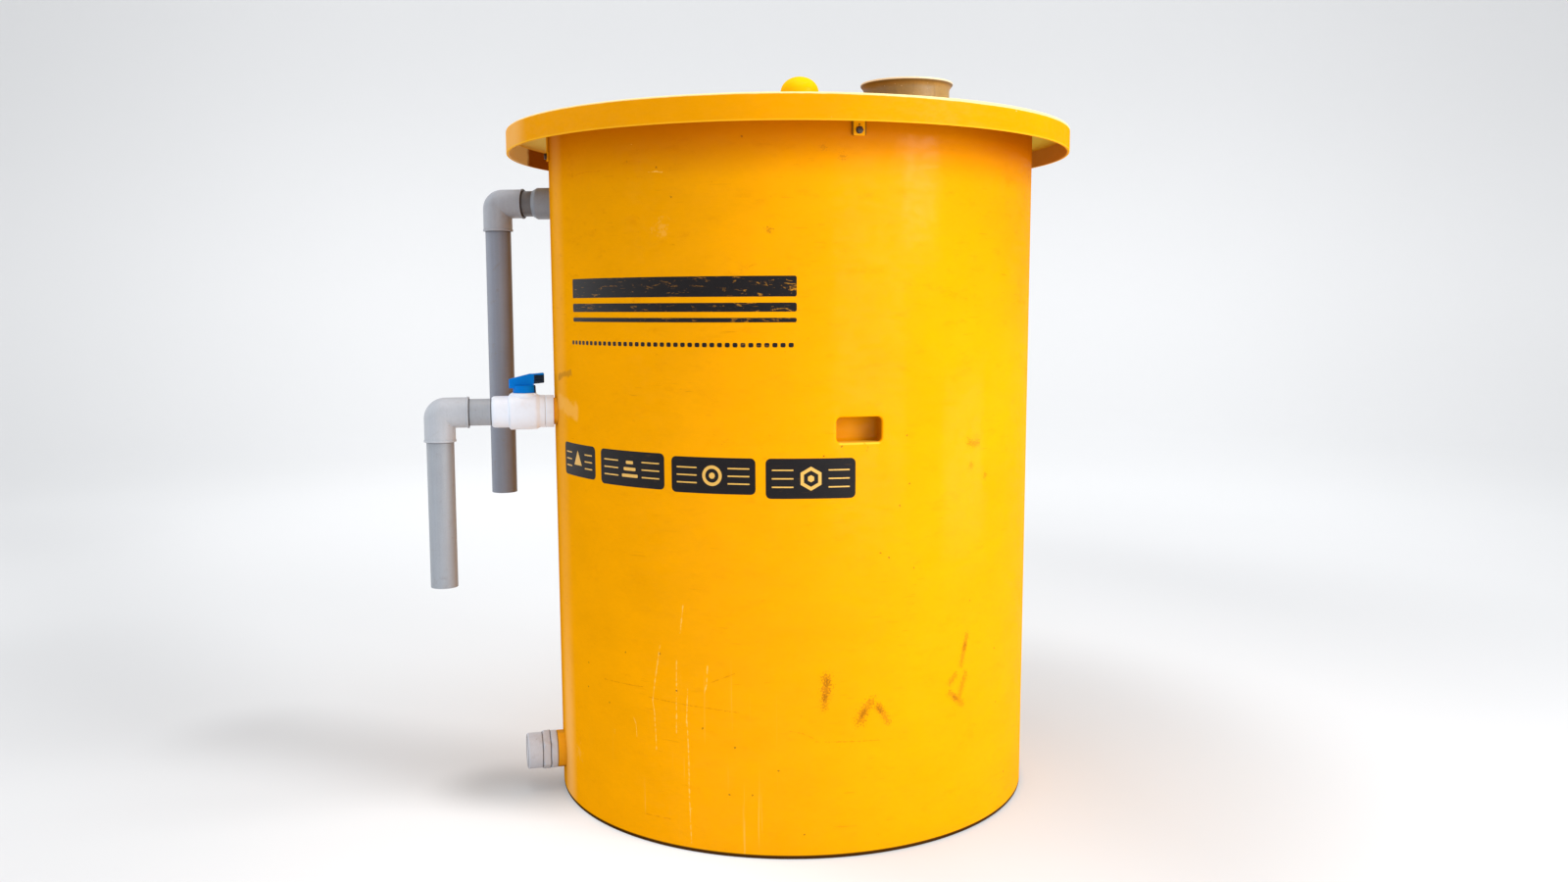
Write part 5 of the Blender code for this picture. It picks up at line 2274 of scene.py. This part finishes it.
    def wrapped(self, name: str, pieces: Sequence[bpy.types.Object], lift: float = 0.0) -> bpy.types.Object:
        """Cuts flat shapes into strips and bends them round the wall.

        Args:
            name: The piece's name.
            pieces: Flat objects in the XZ plane, X the distance along the wall, their faces to -Y.
            lift: Extra height over the wall.

        Returns:
            The finished piece.
        """
        whole = joined(name, pieces)
        corners = [vertex.co for vertex in bmesh.from_edit_mesh(whole.object.data).verts]
        left, right = min(place.x for place in corners), max(place.x for place in corners)
        middle = (min(place.z for place in corners) + max(place.z for place in corners)) / 2.0
        cuts = int((right - left) / self.step)
        for number in range(1, cuts):
            whole.select_all()
            whole.cut(Vector((left + (right - left) * number / cuts, 0.0, 0.0)), Vector((1.0, 0.0, 0.0)))
        lean = Matrix.Rotation(math.atan(TANK.flare), 4, "X")
        up = Matrix.Translation((0.0, -self.stand_off - lift, middle))
        whole.put(up @ lean @ Matrix.Translation((0.0, 0.0, -middle)))
        radius = TANK.radius(middle)
        whole.modify("SIMPLE_DEFORM", deform_method="BEND", deform_axis="Z", angle=(right - left) / radius)
        return whole.put(Matrix.Translation((0.0, -radius, 0.0))).done()


@dataclass
class Studio:
    """The pale floor that runs up into the backdrop, the lights and the camera."""

    floor_radius: float = 7.0
    bend: float = 2.5
    wall_top: float = 8.0
    aim: Corner = (0.0, 0.0, 0.65)

    def build(self) -> None:
        """Sets up everything that isn't part of the object."""
        self.backdrop()
        self.world()
        self.camera()
        self.lights()
        bpy.context.scene.view_settings.view_transform = "Standard"

    def backdrop(self) -> None:
        """Makes a round floor with a curved edge, wide enough to stand behind the object in any view."""
        points = [(self.floor_radius * share, 0.0) for share in (0.15, 0.3, 0.5, 0.75, 1.0)]
        for step in range(1, 17):
            turn = math.radians(90.0 * step / 16.0)
            out, up = self.bend * math.sin(turn), self.bend * (1.0 - math.cos(turn))
            points.append((self.floor_radius + out, up))
        points.append((self.floor_radius + self.bend, self.wall_top))
        bowl = Sweep("backdrop", 0.3, 0.0, 128)
        bowl.follow(points)
        bowl.pole_start()
        bowl.turn_faces(inside=True)
        backdrop = bowl.raw()
        bpy.ops.object.shade_smooth()
        backdrop.data.materials.append(BackdropPaper("backdrop_paper").material())

    def world(self) -> None:
        """Lights everything evenly from a pale sky."""
        world = bpy.data.worlds.new("studio_sky")
        world.use_nodes = True
        ground = world.node_tree.nodes["Background"]
        ground.inputs["Color"].default_value = (0.96, 0.98, 1.0, 1.0)
        ground.inputs["Strength"].default_value = 1.04
        bpy.context.scene.world = world

    def camera(self) -> None:
        """Sets the camera where the photograph was taken from."""
        data = bpy.data.cameras.new("studio_camera")
        data.lens, data.sensor_width = 29.456, 36.0
        camera = bpy.data.objects.new("studio_camera", data)
        bpy.context.scene.collection.objects.link(camera)
        turn, tilt, roll = spun(-14.005, "Z"), spun(90.0 - 5.92562, "X"), spun(-0.18326, "Z")
        camera.matrix_world = Matrix.Translation((-0.6055, -2.3755, 0.8954)) @ turn @ tilt @ roll
        bpy.context.scene.camera = camera

    def lights(self) -> None:
        """Hangs a tall softbox on the right, a wide one overhead and a weak one on the left."""
        self.softbox("key", 42.0, 3.0, 1.75, (0.86, 1.3), 45.0)
        self.softbox("front", 20.0, 3.2, 0.75, (1.8, 1.4), 24.0)
        self.softbox("low", 68.0, 3.0, 0.30, (1.3, 0.6), 9.0)
        self.softbox("overhead", 0.0, 0.4, 4.2, (3.0, 3.0), 64.0)
        self.softbox("fill", -105.0, 3.6, 1.4, (3.6, 2.8), 28.0)

    def softbox(
        self, name: str, azimuth: float, distance: float, height: float, size: Point, power: float,
    ) -> None:
        """Adds a rectangular light that faces the tank's middle.

        Args:
            name: Its name.
            azimuth: Its direction, in degrees from -Y toward +X.
            distance: Its distance from the tank's axis.
            height: Its height.
            size: Its width and height.
            power: Its power in watts.
        """
        data = bpy.data.lights.new(name, "AREA")
        data.shape, data.size, data.size_y, data.energy = "RECTANGLE", size[0], size[1], power
        light = bpy.data.objects.new(name, data)
        bpy.context.scene.collection.objects.link(light)
        angle = math.radians(azimuth)
        place = Vector((distance * math.sin(angle), -distance * math.cos(angle), height))
        aim = (Vector(self.aim) - place).to_track_quat("-Z", "Y").to_matrix().to_4x4()
        light.matrix_world = Matrix.Translation(place) @ aim


def main() -> None:
    """Builds the digester's pieces, then the studio."""
    logging.basicConfig(level=logging.INFO, format="%(message)s")
    for assembly in (Tank(), Lid(), LidFixings(), OverflowLine(), OutletLine(), Drain(), Prints(), Studio()):
        assembly.build()
        LOG.info("%s is built", type(assembly).__name__)


if __name__ == "__main__":
    main()
